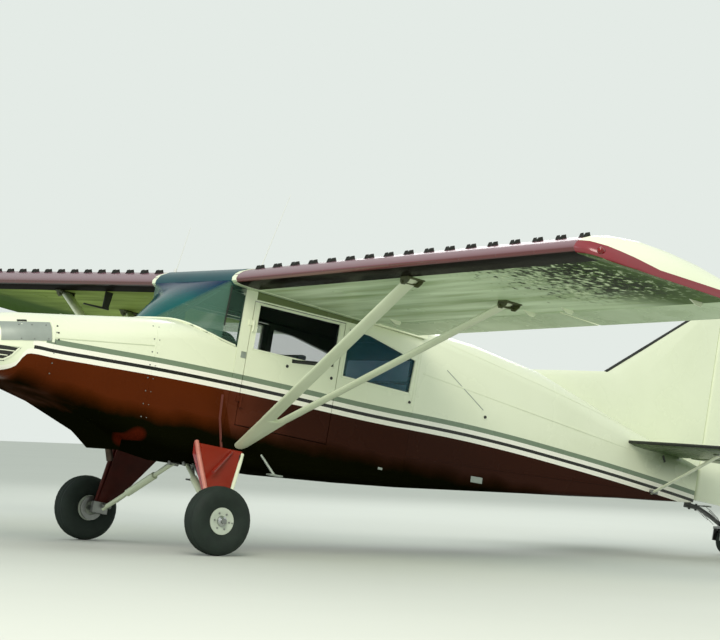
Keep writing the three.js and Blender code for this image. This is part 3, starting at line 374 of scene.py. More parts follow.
# Polyurethane enamel on riveted aluminium sheet, glossy in front and weathered on top. Ribs are
# 377 mm apart and rivets 30 mm, drawn a little larger than the real 8 mm heads so that they show.
def wingEnamel(name, side):
    material, tree, shader = newMaterial(name, Coat_Roughness=0.07)
    place = addNode(tree, "ShaderNodeTexCoord")
    back = wingFrame(side).inverted()
    mapping = addNode(tree, "ShaderNodeMapping", {
        "Vector": (place, "Object"), "Location": back.translation, "Rotation": tuple(back.to_euler())})
    split = addNode(tree, "ShaderNodeSeparateXYZ", {"Vector": (mapping, 0)})
    out = addNode(tree, "ShaderNodeMath", {0: (split, "Y"), 1: float(side)}, operation="MULTIPLY")
    cloud = addNode(tree, "ShaderNodeTexNoise", {
        "Vector": (mapping, 0), "Scale": wingPaint["cloud"], "Detail": 5.0})
    cream = addNode(tree, "ShaderNodeMix", {
        "Factor": (cloud, "Fac"), 6: linear(paints["creamShade"]), 7: linear(paints["cream"])},
        data_type="RGBA")
    # Painted reflection of grass: the cream underside is drawn grey-green, the far wing's olive, streaked
    # along the span
    stretch = addNode(tree, "ShaderNodeMapping", {"Vector": (mapping, 0), "Scale": wingPaint["streak"]})
    streak = addNode(tree, "ShaderNodeTexNoise", {"Vector": (stretch, 0), "Scale": 1.0, "Detail": 4.0})
    sharper = addNode(tree, "ShaderNodeMapRange", {"Value": (streak, "Fac"), **wingPaint["streakSharp"]})
    shade, light = ("undersideShade", "underside") if side < 0 else ("oliveShade", "olive")
    under = addNode(tree, "ShaderNodeMix", {
        "Factor": (sharper, 0), 6: linear(paints[shade]), 7: linear(paints[light])}, data_type="RGBA")
    # Painted dark green reflection of grass on the front of the outer half and right across the tip
    front = addNode(tree, "ShaderNodeMapRange", {"Value": (split, "X"), **wingPaint["greenBack"]})
    middle = addNode(tree, "ShaderNodeMapRange", {"Value": (out, 0), **wingPaint["greenFrom"]})
    dim = addNode(tree, "ShaderNodeMath", {0: (middle, 0), 1: (front, 0)}, operation="MULTIPLY")
    tip = addNode(tree, "ShaderNodeMapRange", {"Value": (out, 0), **wingPaint["greenTip"]})
    dim = addNode(tree, "ShaderNodeMath", {0: (dim, 0), 1: (tip, 0)}, operation="MAXIMUM")
    under = addNode(tree, "ShaderNodeMix", {
        "Factor": (dim, 0), 6: (under, 2), 7: linear(paints["tailUnder"])}, data_type="RGBA")
    # Dark specks on the left wing's outer half, with pale flecks between them
    if side < 0:
        speck = addNode(tree, "ShaderNodeTexNoise", {
            "Vector": (mapping, 0), "Scale": wingPaint["speck"], "Detail": 3.0})
        outer = addNode(tree, "ShaderNodeMapRange", {"Value": (out, 0), **wingPaint["speckThin"]})
        fleck = addNode(tree, "ShaderNodeMath", {0: (speck, "Fac"), 1: (outer, 0)}, operation="SUBTRACT")
        flecked = addNode(tree, "ShaderNodeMapRange", {"Value": (fleck, 0), **wingPaint["speckCut"]})
        inside = addNode(tree, "ShaderNodeMapRange", {"Value": (out, 0), **wingPaint["speckEnd"]})
        patch = addNode(tree, "ShaderNodeMath", {0: (front, 0), 1: (inside, 0)}, operation="MULTIPLY")
        flecked = addNode(tree, "ShaderNodeMath", {0: (flecked, 0), 1: (patch, 0)}, operation="MULTIPLY")
        reach = addNode(tree, "ShaderNodeMapRange", {"Value": (out, 0), **wingPaint["paleFrom"]})
        clean = addNode(tree, "ShaderNodeMapRange", {"Value": (speck, "Fac"), **wingPaint["paleCut"]})
        clean = addNode(tree, "ShaderNodeMath", {0: (clean, 0), 1: (reach, 0)}, operation="MULTIPLY")
        clean = addNode(tree, "ShaderNodeMath", {0: (clean, 0), 1: (patch, 0)}, operation="MULTIPLY")
        for factor, colour in ((flecked, "speck"), (clean, "paleSpeck")):
            under = addNode(tree, "ShaderNodeMix", {
                "Factor": (factor, 0), 6: (under, 2), 7: linear(paints[colour])}, data_type="RGBA")
    surface = addNode(tree, "ShaderNodeNewGeometry")
    facing = addNode(tree, "ShaderNodeSeparateXYZ", {"Vector": (surface, "Normal")})
    slope = wingShape["washDown"] / wingShape["chord"]
    drop = addNode(tree, "ShaderNodeMath", {
        0: (split, "X"), 1: slope, 2: (split, "Z")}, operation="MULTIPLY_ADD")
    isUnder = addNode(tree, "ShaderNodeMath", {
        0: (drop, 0), 1: wingPaint["underLine"]}, operation="LESS_THAN")
    paint = addNode(tree, "ShaderNodeMix", {
        "Factor": (isUnder, 0), 6: (cream, 2), 7: (under, 2)}, data_type="RGBA")
    # The red band wraps the leading edge and runs on along the tip's lower edge
    isOver = addNode(tree, "ShaderNodeMath", {
        0: (split, "Z"), 1: wingPaint["lipHeight"]}, operation="GREATER_THAN")
    beyond = addNode(tree, "ShaderNodeMath", {
        0: (out, 0), 1: wingShape["length"] - wingPaint["tipLap"]}, operation="GREATER_THAN")
    depth = addNode(tree, "ShaderNodeMix", {
        "Factor": (isOver, 0), 2: wingPaint["bandUnder"], 3: wingPaint["bandOver"]})
    inBand = addNode(tree, "ShaderNodeMath", {0: (split, "X"), 1: (depth, 0)}, operation="LESS_THAN")
    lip = addNode(tree, "ShaderNodeMapRange", {"Value": (split, "X"), **wingPaint["tipEdge"]})
    low = addNode(tree, "ShaderNodeMath", {0: (drop, 0), 1: (lip, 0)}, operation="LESS_THAN")
    least = addNode(tree, "ShaderNodeMapRange", {"Value": (split, "X"), **wingPaint["tipTurn"]})
    sideways = addNode(tree, "ShaderNodeMath", {0: (facing, "Z"), 1: (least, 0)}, operation="GREATER_THAN")
    onTip = addNode(tree, "ShaderNodeMath", {0: (low, 0), 1: (sideways, 0)}, operation="MULTIPLY")
    red = addNode(tree, "ShaderNodeMix", {"Factor": (beyond, 0), 2: (inBand, 0), 3: (onTip, 0)})
    # Painted light and shade on the red band: paler where it faces up, near black where it faces down; plain
    # red on the tip
    litTop = addNode(tree, "ShaderNodeMapRange", {"Value": (facing, "Z"), **wingPaint["litTopTurn"]})
    shadedUnder = addNode(tree, "ShaderNodeMapRange", {"Value": (facing, "Z"), **wingPaint["shadeUnderTurn"]})
    tone = addNode(tree, "ShaderNodeMix", {
        "Factor": (litTop, 0), 6: linear(paints["band"]), 7: linear(paints["bandTop"])}, data_type="RGBA")
    for factor, colour in ((shadedUnder, "bandUnder"), (beyond, "tipRed")):
        tone = addNode(tree, "ShaderNodeMix", {
            "Factor": (factor, 0), 6: (tone, 2), 7: linear(paints[colour])}, data_type="RGBA")
    paint = addNode(tree, "ShaderNodeMix", {
        "Factor": (red, 0), 6: (paint, 2), 7: (tone, 2)}, data_type="RGBA")
    gloss = addNode(tree, "ShaderNodeMapRange", {"Value": (facing, "Z"), **wingPaint["glossTurn"]})
    # The upper side has weathered to a duller surface than the leading edge
    worn = addNode(tree, "ShaderNodeMapRange", {"Value": (facing, "Z"), **wingPaint["wornTurn"]})
    gloss = addNode(tree, "ShaderNodeMath", {0: (gloss, 0), 1: (worn, 0)}, operation="MULTIPLY")
    for socket in ("Coat Weight", "Specular IOR Level"):
        tree.links.new(gloss.outputs[0], shader.inputs[socket])
    # Rivets: dots along the ribs and the spars
    ribs, alongSpan = [
        addNode(tree, "ShaderNodeMath", {0: (out, 0), 1: wingPaint[pitch] / 2}, operation="PINGPONG")
        for pitch in ("ribPitch", "rivetPitch")]
    alongRib = addNode(tree, "ShaderNodeMath", {
        0: (split, "X"), 1: wingPaint["rivetPitch"] / 2}, operation="PINGPONG")
    lines = [(ribs, alongRib)]
    for spar in wingPaint["sparLines"]:
        away = addNode(tree, "ShaderNodeMath", {0: (split, "X"), 1: spar}, operation="SUBTRACT")
        lines.append((away, alongSpan))
    total = None
    for across, along in lines:
        square = addNode(tree, "ShaderNodeMath", {0: (across, 0), 1: (across, 0)}, operation="MULTIPLY")
        distance = addNode(tree, "ShaderNodeMath", {
            0: (along, 0), 1: (along, 0), 2: (square, 0)}, operation="MULTIPLY_ADD")
        dot = addNode(tree, "ShaderNodeMapRange", {
            "Value": (distance, 0), **span(0.0, wingPaint["rivetSize"] ** 2, 1.0, 0.0)})
        if total:
            dot = addNode(tree, "ShaderNodeMath", {0: (total, 0), 1: (dot, 0)}, operation="MAXIMUM")
        total = dot
    rough = addNode(tree, "ShaderNodeMapRange", {"Value": (cloud, "Fac"), **wingPaint["rough"]})
    if side > 0:
        rough = addNode(tree, "ShaderNodeMix", {
            "Factor": (isUnder, 0), 2: (rough, 0), 3: wingPaint["farRough"]})
    dressShader(tree, shader, (paint, 2), (rough, 0), (total, 0), wingPaint["rivetStrength"],
                wingPaint["rivetHeight"])
    return material


# Stretched acrylic: smooth and clear, with a faint cloud in its tint
def acrylic(name, colour, alpha):
    material, tree, shader = newMaterial(
        name, Roughness=0.03, IOR=1.49, Alpha=alpha, Specular_IOR_Level=0.1)
    mapping, split = levelPlace(tree)
    cloud = addNode(tree, "ShaderNodeTexNoise", {"Vector": (mapping, 0), "Scale": 3.0, "Detail": 3.0})
    low, high = colour
    mix = addNode(tree, "ShaderNodeMix", {
        "Factor": (cloud, "Fac"), 6: linear(low), 7: linear(high)}, data_type="RGBA")
    tree.links.new(mix.outputs[2], shader.inputs["Base Color"])
    return material, tree, shader, split


# The tint is dark blue-green above a slanting line, from the middle low down to the door post high up,
# pale below it, and bluer near the top. Behind the post's line the sheet is nearly clear.
tint = {
    "slope": (0.5524, 0.2043, -0.8081), "level": -1.2274, "edge": 0.012, "blueUp": span(1.5, 1.66),
    "post": span(0.035, 0.05, 1.0, 0.0), "cover": span(start=0.94, end=0.6), "sideCover": 0.16,
    "rough": 0.14,
}


def windshieldAcrylic():
    material, tree, shader, split = acrylic(
        "tinted acrylic", (paints["tealShade"], paints["tealLight"]), 0.9)
    shader.inputs["Roughness"].default_value = tint["rough"]
    across = addNode(tree, "ShaderNodeMath", {0: (split, "Y")}, operation="ABSOLUTE")
    alongX, out, down = tint["slope"]
    total = addNode(tree, "ShaderNodeMath", {0: (split, "Z"), 1: down}, operation="MULTIPLY")
    total = addNode(tree, "ShaderNodeMath", {
        0: (split, "X"), 1: alongX, 2: (total, 0)}, operation="MULTIPLY_ADD")
    total = addNode(tree, "ShaderNodeMath", {
        0: (across, 0), 1: out, 2: (total, 0)}, operation="MULTIPLY_ADD")
    below = addNode(tree, "ShaderNodeMapRange", {
        "Value": (total, 0), **span(tint["level"] - tint["edge"], tint["level"] + tint["edge"])})
    dark = shader.inputs["Base Color"].links[0].from_node
    upward = addNode(tree, "ShaderNodeMapRange", {"Value": (split, "Z"), **tint["blueUp"]})
    for factor, colour in ((upward, "navy"), (below, "paleTint")):
        dark = addNode(tree, "ShaderNodeMix", {
            "Factor": (factor, 0), 6: (dark, 2), 7: linear(paints[colour])}, data_type="RGBA")
    tree.links.new(dark.outputs[2], shader.inputs["Base Color"])
    thin = addNode(tree, "ShaderNodeMapRange", {"Value": (below, 0), **tint["cover"]})
    ahead = addNode(tree, "ShaderNodeMapRange", {"Value": (split, "X"), **tint["post"]})
    cover = addNode(tree, "ShaderNodeMix", {"Factor": (ahead, 0), 2: tint["sideCover"], 3: (thin, 0)})
    tree.links.new(cover.outputs[0], shader.inputs["Alpha"])
    return material


roofPaint = {"tealTo": 0.19, "rough": span(start=0.27, end=0.3)}


# Roof enamel, clean and even; in front the windshield's tint runs on up over the wing's front spar
def roofEnamel():
    material, tree, shader = newMaterial("roof enamel", Specular_IOR_Level=0.15)
    mapping, split = levelPlace(tree)
    cloud = addNode(tree, "ShaderNodeTexNoise", {"Vector": (mapping, 0), "Scale": 2.5, "Detail": 5.0})
    cream, teal = [
        addNode(tree, "ShaderNodeMix", {
            "Factor": (cloud, "Fac"), 6: linear(paints[shade]), 7: linear(paints[light])}, data_type="RGBA")
        for shade, light in (("creamShade", "cream"), ("tealShade", "teal"))]
    ahead = addNode(tree, "ShaderNodeMath", {0: (split, "X"), 1: roofPaint["tealTo"]}, operation="LESS_THAN")
    paint = addNode(tree, "ShaderNodeMix", {
        "Factor": (ahead, 0), 6: (cream, 2), 7: (teal, 2)}, data_type="RGBA")
    rough = addNode(tree, "ShaderNodeMapRange", {"Value": (ahead, 0), **roofPaint["rough"]})
    dressShader(tree, shader, (paint, 2), (rough, 0), (cloud, "Fac"), 0.05, 0.004)
    return material


# The green ends where a face's normal has this upward part
undersidePaint = {"turn": -0.35, "rough": span(start=0.34, end=0.2)}


# Smooth enamel for tail, flaps, ailerons and root fairings: cream above; lower faces painted green as
# reflected grass, darker on the tail as painted shade
def undersideEnamel(name, light, dark):
    material, tree, shader = newMaterial(
        name, Specular_IOR_Level=0.15, Coat_Weight=0.04, Coat_Roughness=0.1)
    mapping, _ = levelPlace(tree)
    cloud = addNode(tree, "ShaderNodeTexNoise", {"Vector": (mapping, 0), "Scale": 3.0, "Detail": 5.0})
    cream, green = [
        addNode(tree, "ShaderNodeMix", {
            "Factor": (cloud, "Fac"), 6: linear(paints[low]), 7: linear(paints[high])}, data_type="RGBA")
        for low, high in (("creamShade", "cream"), (dark, light))]
    surface = addNode(tree, "ShaderNodeNewGeometry")
    split = addNode(tree, "ShaderNodeSeparateXYZ", {"Vector": (surface, "Normal")})
    below = addNode(tree, "ShaderNodeMath", {
        0: (split, "Z"), 1: undersidePaint["turn"]}, operation="LESS_THAN")
    paint = addNode(tree, "ShaderNodeMix", {
        "Factor": (below, 0), 6: (cream, 2), 7: (green, 2)}, data_type="RGBA")
    rough = addNode(tree, "ShaderNodeMapRange", {"Value": (cloud, "Fac"), **undersidePaint["rough"]})
    dressShader(tree, shader, (paint, 2), (rough, 0), (cloud, "Fac"), 0.05, 0.004)
    return material


# Moulded nitrile rubber: nearly black and dull, with dust in patches of 70 mm
def tyreRubber():
    material, tree, shader = newMaterial("tyre rubber", Specular_IOR_Level=0.3)
    place = addNode(tree, "ShaderNodeTexCoord")
    dust = addNode(tree, "ShaderNodeTexNoise", {"Vector": (place, "Object"), "Scale": 14.0, "Detail": 8.0})
    mix = addNode(tree, "ShaderNodeMix", {
        "Factor": (dust, "Fac"), 6: linear(paints["rubberDust"]), 7: linear(paints["rubber"])},
        data_type="RGBA")
    rough = addNode(tree, "ShaderNodeMapRange", {"Value": (dust, "Fac"), "To Min": 0.6, "To Max": 0.85})
    fine = addNode(tree, "ShaderNodeTexNoise", {"Vector": (place, "Object"), "Scale": 400.0, "Detail": 2.0})
    dressShader(tree, shader, (mix, 2), (rough, 0), (fine, "Fac"), 0.3, 0.0008)
    return material


# Plain woven wool blend: threads 3 mm apart, drawn coarser than the real 1 mm so that they show
def seatCloth():
    material, tree, shader = newMaterial(
        "woven seat cloth", Roughness=0.92, Sheen_Weight=0.3, Sheen_Roughness=0.5)
    place = addNode(tree, "ShaderNodeTexCoord")
    split = addNode(tree, "ShaderNodeSeparateXYZ", {"Vector": (place, "Object")})
    thread = 0.003
    diagonal = addNode(tree, "ShaderNodeMath", {0: (split, "X"), 1: (split, "Z")}, operation="ADD")
    turns = 2 * math.pi / thread
    weft = addNode(tree, "ShaderNodeMath", {0: (split, "Y"), 1: turns}, operation="MULTIPLY")
    weft = addNode(tree, "ShaderNodeMath", {0: (weft, 0)}, operation="SINE")
    warp = addNode(tree, "ShaderNodeMath", {0: (diagonal, 0), 1: turns}, operation="MULTIPLY")
    warp = addNode(tree, "ShaderNodeMath", {0: (warp, 0)}, operation="SINE")
    weave = addNode(tree, "ShaderNodeMath", {0: (weft, 0), 1: (warp, 0)}, operation="MULTIPLY")
    cloud = addNode(tree, "ShaderNodeTexNoise", {"Vector": (place, "Object"), "Scale": 20.0, "Detail": 6.0})
    mix = addNode(tree, "ShaderNodeMix", {
        "Factor": (cloud, "Fac"), 6: linear(paints["clothShade"]), 7: linear(paints["cloth"])},
        data_type="RGBA")
    dressShader(tree, shader, (mix, 2), None, (weave, 0), 0.4, 0.0008)
    return material


windowGlass, rearGlass = [
    acrylic(name, colour, alpha)[0] for name, colour, alpha in (
        ("clear acrylic", ("#0e1f12", "#1a3020"), 0.1), ("blue acrylic", ("#2c5a7a", "#3f7a80"), 0.2))]
# Each finishOf takes a name, two colours, roughness, size of clouds and of grain in metres, relief
finishes = {
    "body": bodyEnamel(),
    "wingLeft": wingEnamel("wing enamel left", -1),
    "wingRight": wingEnamel("wing enamel right", 1),
    # Gloss enamel: sharp highlights on a clean pale ground
    "cream": finishOf("cream enamel", paints["cream"], paints["creamShade"], 0.27, 0.4, 0.02, 0.05,
                      Coat_Weight=0.5, Coat_Roughness=0.06),
    # The same enamel painted darker and greener as the struts' shade, with wider highlights
    "strutCream": finishOf("cream enamel painted in green shade", "#d6dec3", "#bfc9a8", 0.32, 0.3, 0.02, 0.06,
                           Coat_Weight=0.2, Coat_Roughness=0.1),
    "roof": roofEnamel(),
    "paintedGreenBelow": undersideEnamel("enamel painted green below", "underside", "undersideShade"),
    "paintedDarkGreenBelow": undersideEnamel("enamel painted dark green below", "tailUnder", "tailUnderShade"),
    # Sprayed enamel on welded tube: even bright red, glossy
    "red": finishOf("red gear enamel", "#93200f", "#74170b", 0.28, 0.3, 0.02, 0.05, Coat_Weight=0.2),
    # The same red, painted in shade for the far leg: blotched and nearly black
    "shadedRed": finishOf("red gear enamel painted in shade", "#4a130a", "#2a0b06", 0.45, 0.12, 0.01, 0.08,
                          Specular_IOR_Level=0.2),
    # A painted highlight along the near leg's front edge: a pink line
    "highlightRed": finishOf("red edge enamel with painted highlight", "#cf8f80", "#b0584a", 0.35, 0.05, 0.01, 0.06),
    # Primer on steel fittings: flat dark olive
    "fitting": finishOf("olive primer", "#4b5226", "#31371a", 0.5, 0.04, 0.004, 0.1),
    # Napped blue cloth, painted paler as the daylight inside the cabin, without a highlight
    "bulkhead": finishOf("blue trim cloth painted with daylight", "#c3d0f2", "#9dbfcc", 0.9, 0.1, 0.003, 0.4),
    # Red enamel under dust: flat brown-red
    "dustyMaroon": finishOf("dusty maroon enamel", "#6d3025", "#55221a", 0.5, 0.1, 0.01, 0.1),
    # Cadmium plate: grey metal, a little clouded
    "steel": finishOf("plated steel", "#9d9f9c", "#7f817e", 0.38, 0.05, 0.004, 0.12, Metallic=1.0),
    # Black paint on tube: dark with a faint sheen
    "darkSteel": finishOf("painted steel tube", "#2c2e2b", "#1f211f", 0.45, 0.05, 0.004, 0.1),
    # Steel browned by heat: dull warm metal, scaly
    "exhaust": finishOf("heat stained steel", "#5d5046", "#39332f", 0.5, 0.04, 0.003, 0.2, Metallic=1.0),
    # Sand casting: grainy dark grey
    "engineAlloy": finishOf("cast alloy", "#6b6c6a", "#4c4d4b", 0.6, 0.05, 0.003, 0.4, Metallic=0.8),
    # Polished blade metal: bright, clear reflections
    "alloy": finishOf("polished aluminium", "#c6c8c8", "#b2b5b5", 0.24, 0.1, 0.002, 0.05, Metallic=1.0),
    # Brushed sheet: wide soft reflections
    "silver": finishOf("brushed aluminium sheet", "#aab2aa", "#99a199", 0.4, 0.06, 0.002, 0.1,
                       Metallic=0.6),
    # Enamel on a cast rim: smooth off-white
    "wheel": finishOf("white wheel enamel", "#c3ccbd", "#a9b3a4", 0.32, 0.06, 0.004, 0.08,
                      Coat_Weight=0.3),
    "rubber": tyreRubber(),
    # Extruded rubber: matt black
    "seal": finishOf("rubber seal", "#23261f", "#191b17", 0.65, 0.02, 0.002, 0.2),
    # Polyurethane strip: black with a slight shine
    "strip": finishOf("abrasion strip", "#20231d", "#161914", 0.5, 0.05, 0.004, 0.1),
    # Moulded with a fine grain: black that never mirrors
    "plastic": finishOf("black moulded plastic", "#24272a", "#191b1e", 0.5, 0.03, 0.0015, 0.3),
    # Dark cloth, painted nearly black as the shade inside the cabin: takes nearly all the light
    "headliner": finishOf("headliner cloth painted with cabin shade", "#11150f", "#0b0e0a", 0.95, 0.05, 0.003, 0.4,
                          Specular_IOR_Level=0.06),
    # Looped pile: rough and dark
    "carpet": finishOf("nylon carpet", "#2a2724", "#1d1b19", 0.95, 0.02, 0.002, 0.8),
    # Flat glass over a black face: a clear highlight on black
    "dial": finishOf("dial glass", "#0c0e10", "#15181b", 0.12, 0.02, 0.01, 0.0, spread=0.02),
    # Printed paint: flat white lines
    "mark": finishOf("white dial paint", "#dfe0dc", "#cfd0cc", 0.5, 0.01, 0.001, 0.05),
    "cloth": seatCloth(),
    "windshield": windshieldAcrylic(),
    "window": windowGlass,
    "rearGlass": rearGlass,
    # Enamel on thin tube: smooth pale blue
    "paleTube": finishOf("pale blue tube enamel", "#a9c3c8", "#8fabb2", 0.35, 0.05, 0.004, 0.05),
}
# Lamp covers of coloured acrylic: smooth, light shows through them
for lens, colour, shade, roughness, through in (
        ("red", "#a31414", "#7d0c0c", 0.1, 0.4), ("green", "#137a45", "#0c5c33", 0.1, 0.4),
        ("clear", "#e9ecec", "#dadddd", 0.08, 0.5)):
    finishes[lens + "Lens"] = finishOf(
        lens + " lens", colour, shade, roughness, 0.02, 0.004, 0.05, Transmission_Weight=through)
print("materials made")

# Modelling helpers


def smoothByAngle(bm, angle):
    for face in bm.faces:
        face.smooth = True
    for edge in bm.edges:
        if len(edge.link_faces) == 2 and edge.calc_face_angle(0) > math.radians(angle):
            edge.smooth = False


# Turns a finished bmesh into a piece on a body; place turns it from its own drawing frame
def addPiece(name, bm, finish, body="airframe", angle=35, place=toGround, nodes=()):
    if place:
        bmesh.ops.transform(bm, matrix=place, verts=bm.verts)
    smoothByAngle(bm, angle)
    mesh = bpy.data.meshes.new(name)
    bm.to_mesh(mesh)
    bm.free()
    piece = bpy.data.objects.new(name, mesh)
    bpy.context.scene.collection.objects.link(piece)
    mesh.materials.append(finishes[finish])
    if nodes:
        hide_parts(*nodes)
    if body:
        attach(piece, body)
    return piece


def addBlock(bm, low, high, edge=0.0, turn=Matrix()):
    low, high = Vector(low), Vector(high)
    size = Matrix.Diagonal((*(high - low), 1.0))
    made = bmesh.ops.create_cube(bm, size=1.0, matrix=turn @ Matrix.Translation((low + high) / 2) @ size)
    if edge:
        edges = {edge for vert in made["verts"] for edge in vert.link_edges}
        bmesh.ops.bevel(bm, geom=list(edges), offset=edge, segments=2, profile=0.5, affect="EDGES",
                        material=-1, clamp_overlap=True)


# Block on one side, from its ranges of x, y (out from the middle) and z
def addSideBlock(bm, side, xs, ys, zs, edge):
    low, high = sorted(side * y for y in ys)
    addBlock(bm, (xs[0], low, zs[0]), (xs[1], high, zs[1]), edge)


def addRod(bm, start, end, radius, endRadius=None, sides=14):
    start, end = Vector(start), Vector(end)
    turn = (end - start).to_track_quat("Z", "Y").to_matrix().to_4x4()
    bmesh.ops.create_cone(
        bm, cap_ends=True, segments=sides, radius1=radius, radius2=radius if endRadius is None else endRadius,
        depth=(end - start).length, matrix=Matrix.Translation((start + end) / 2) @ turn)


# Bent tube through points, as a bevelled curve made mesh
def addTube(bm, points, radius, sides=3, order=3):
    curve = bpy.data.curves.new("path", "CURVE")
    curve.dimensions = "3D"
    curve.bevel_depth = radius
    curve.bevel_resolution = sides
    curve.use_fill_caps = True
    spline = curve.splines.new("NURBS" if order > 2 else "POLY")
    spline.points.add(len(points) - 1)
    for dot, place in zip(spline.points, points):
        dot.co = (*place, 1.0)
    if order > 2:
        spline.use_endpoint_u = True
        spline.order_u = order
        spline.resolution_u = 8
    holder = bpy.data.objects.new("path", curve)
    mesh = bpy.data.meshes.new_from_object(holder)
    bm.from_mesh(mesh)
    bpy.data.objects.remove(holder)
    bpy.data.curves.remove(curve)
    bpy.data.meshes.remove(mesh)


# Turned shape from (radius, distance) pairs about an axis through a point
def addTurned(bm, profile, centre, axis, steps=48):
    old = set(bm.verts)
    line = [bm.verts.new((radius, 0, along)) for radius, along in profile]
    edges = [bm.edges.new(pair) for pair in zip(line, line[1:])]
    bmesh.ops.spin(bm, geom=line + edges, cent=(0, 0, 0), axis=(0, 0, 1), angle=2 * math.pi, steps=steps,
                   use_merge=True)
    made = [vert for vert in bm.verts if vert not in old]
    bmesh.ops.remove_doubles(bm, verts=made, dist=0.00001)
    made = [vert for vert in bm.verts if vert not in old]
    faces = {face for vert in made for face in vert.link_faces}
    bmesh.ops.recalc_face_normals(bm, faces=list(faces))
    turn = Vector(axis).to_track_quat("Z", "Y").to_matrix().to_4x4()
    bmesh.ops.transform(bm, matrix=Matrix.Translation(centre) @ turn, verts=made)


# Skin through closed rings, with its ends closed
def addLoft(bm, rings):
    loops = []
    for ring in rings:
        verts = [bm.verts.new(point) for point in ring]
        loops.append((verts, [bm.edges.new((verts[i - 1], verts[i])) for i in range(len(verts))]))
    faces = []
    for (_, before), (_, after) in zip(loops, loops[1:]):
        faces += bmesh.ops.bridge_loops(bm, edges=before + after)["faces"]
    faces += [bm.faces.new(loops[0][0]), bm.faces.new(loops[-1][0])]
    bmesh.ops.recalc_face_normals(bm, faces=faces)


# Plate with an outline, pushed to its thickness, its edges eased
def addPlate(bm, outline, push, edge=0.0):
    face = bm.faces.new([bm.verts.new(point) for point in outline])
    grown = bmesh.ops.extrude_face_region(bm, geom=[face])
    verts = [item for item in grown["geom"] if isinstance(item, bmesh.types.BMVert)]
    bmesh.ops.translate(bm, verts=verts, vec=push)
    every = {item for vert in verts for item in vert.link_faces} | {face}
    bmesh.ops.recalc_face_normals(bm, faces=[item for item in every if item.is_valid])
    if edge:
        edges = {item for vert in verts for item in vert.link_edges}
        bmesh.ops.bevel(bm, geom=list(edges), offset=edge, segments=2, profile=0.5, affect="EDGES",
                        material=-1, clamp_overlap=True)


# The shape of some nodes in level measures, for laying trim on their surface
def surfaceOf(*nodes):
    bm = bmesh.new()
    for node in nodes:
        bm.from_mesh(frame["nodes"][node].data)
    bmesh.ops.transform(bm, matrix=toLevel, verts=bm.verts)
    tree = BVHTree.FromBMesh(bm)
    bm.free()
    return tree


# Thin tape laid on a surface: its path is cast along a direction, step by step
def addTape(bm, surface, path, look, width, height, step=0.05):
    look = Vector(look).normalized()
    places = []
    for start, end in zip(path, path[1:]):
        start, end = Vector(start), Vector(end)
        count = max(1, round((end - start).length / step))
        places += [start.lerp(end, i / count) for i in range(count)]
    places.append(Vector(path[-1]))
    hits = []
    for place in places:
        spot, normal, _, _ = surface.ray_cast(place - look * 1.0, look)
        if spot:
            hits.append((spot, normal if normal.dot(look) < 0 else -normal))
    rings = []
    for index, (spot, normal) in enumerate(hits):
        before = hits[max(index - 1, 0)][0]
        after = hits[min(index + 1, len(hits) - 1)][0]
        across = (after - before).normalized().cross(normal).normalized() * width / 2
        top = spot + normal * height
        base = spot - normal * height
        rings.append([base - across, top - across * 0.8, top + across * 0.8, base + across])
    if len(rings) > 1:
        addLoft(bm, rings)


# Tape round a closed outline of x and z
def addFrame(bm, surface, outline, look, width, step):
    for (ax, az), (bx, bz) in zip(outline, outline[1:] + outline[:1]):
        addTape(bm, surface, [(ax, 0, az), (bx, 0, bz)], look, width, 0.003, step)


# Raised round heads on a surface
def addHeads(bm, surface, spots, look, radius, height, sides=10):
    look = Vector(look).normalized()
    for place in spots:
        spot, normal, _, _ = surface.ray_cast(Vector(place) - look, look)
        if spot:
            normal = normal if normal.dot(look) < 0 else -normal
            addRod(bm, spot - normal * height, spot + normal * height, radius, radius * 0.7, sides)


def copyOfNode(node):
    bm = bmesh.new()
    bm.from_mesh(frame["nodes"][node].data)
    bmesh.ops.remove_doubles(bm, verts=bm.verts, dist=0.00002)
    bmesh.ops.dissolve_limit(bm, angle_limit=math.radians(0.3), verts=bm.verts, edges=bm.edges)
    return bm


sides = {"left": -1, "right": 1}
bodyOfNode = {node: body for body, nodes in record["behaviour"]["bodies"].items() for node in nodes}
slotOfNode = {part["node"]: part["material_slot"] for part in record["subparts"]}

# Nodes whose shape is right: finish and the angle past which an edge stays sharp.
# The ones that new shapes stand for follow further down.
dressed = {
    "nose_bowl": ("body", 35), "cowl": ("body", 35), "firewall": ("steel", 35), "engine": ("engineAlloy", 35),
    "exhaust_pipe": ("exhaust", 50), "boot_cowl": ("body", 35), "cabin_shell": ("body", 35),
    "cabin_roof": ("roof", 25), "aft_fuselage": ("body", 35), "windshield": ("windshield", 60),
    "instrument_panel": ("plastic", 35), "fin": ("cream", 35),
    "rudder": ("cream", 35), "tail_spring": ("darkSteel", 35), "tail_fork": ("steel", 35),
    "tail_wheel": ("rubber", 35), "propeller": ("alloy", 40), "spinner": ("cream", 40), "door": ("body", 35),
    "door_glass": ("window", 35), "rear_window": ("rearGlass", 35),
    "wing": ("wing", 40), "flap": ("paintedGreenBelow", 40), "aileron": ("paintedGreenBelow", 40), "wingtip": ("wing", 40),
    "strut_front": ("strutCream", 40), "strut_rear": ("strutCream", 40), "gear_leg": ("red", 35),
    "axle": ("steel", 35), "shock_strut": ("strutCream", 35), "main_wheel": ("wheel", 35),
    "tailplane": ("paintedDarkGreenBelow", 40), "elevator": ("paintedDarkGreenBelow", 40), "tail_brace": ("cream", 40),
    "aerial_1": ("mark", 50), "aerial_2": ("mark", 50),
}


def dressNodes():
    for name, (finish, angle) in dressed.items():
        for node in [name] if name in slotOfNode else [name + "_left", name + "_right"]:
            used = finish
            if finish == "wing":
                used = "wingLeft" if node.endswith("left") else "wingRight"
            # The far leg is painted in shade
            if node == "gear_leg_right":
                used = "shadedRed"
            addPiece(node + "_skin", copyOfNode(node), used, bodyOfNode[node], angle, None,
                     [node])


dressNodes()
print("nodes dressed")

# Wing details

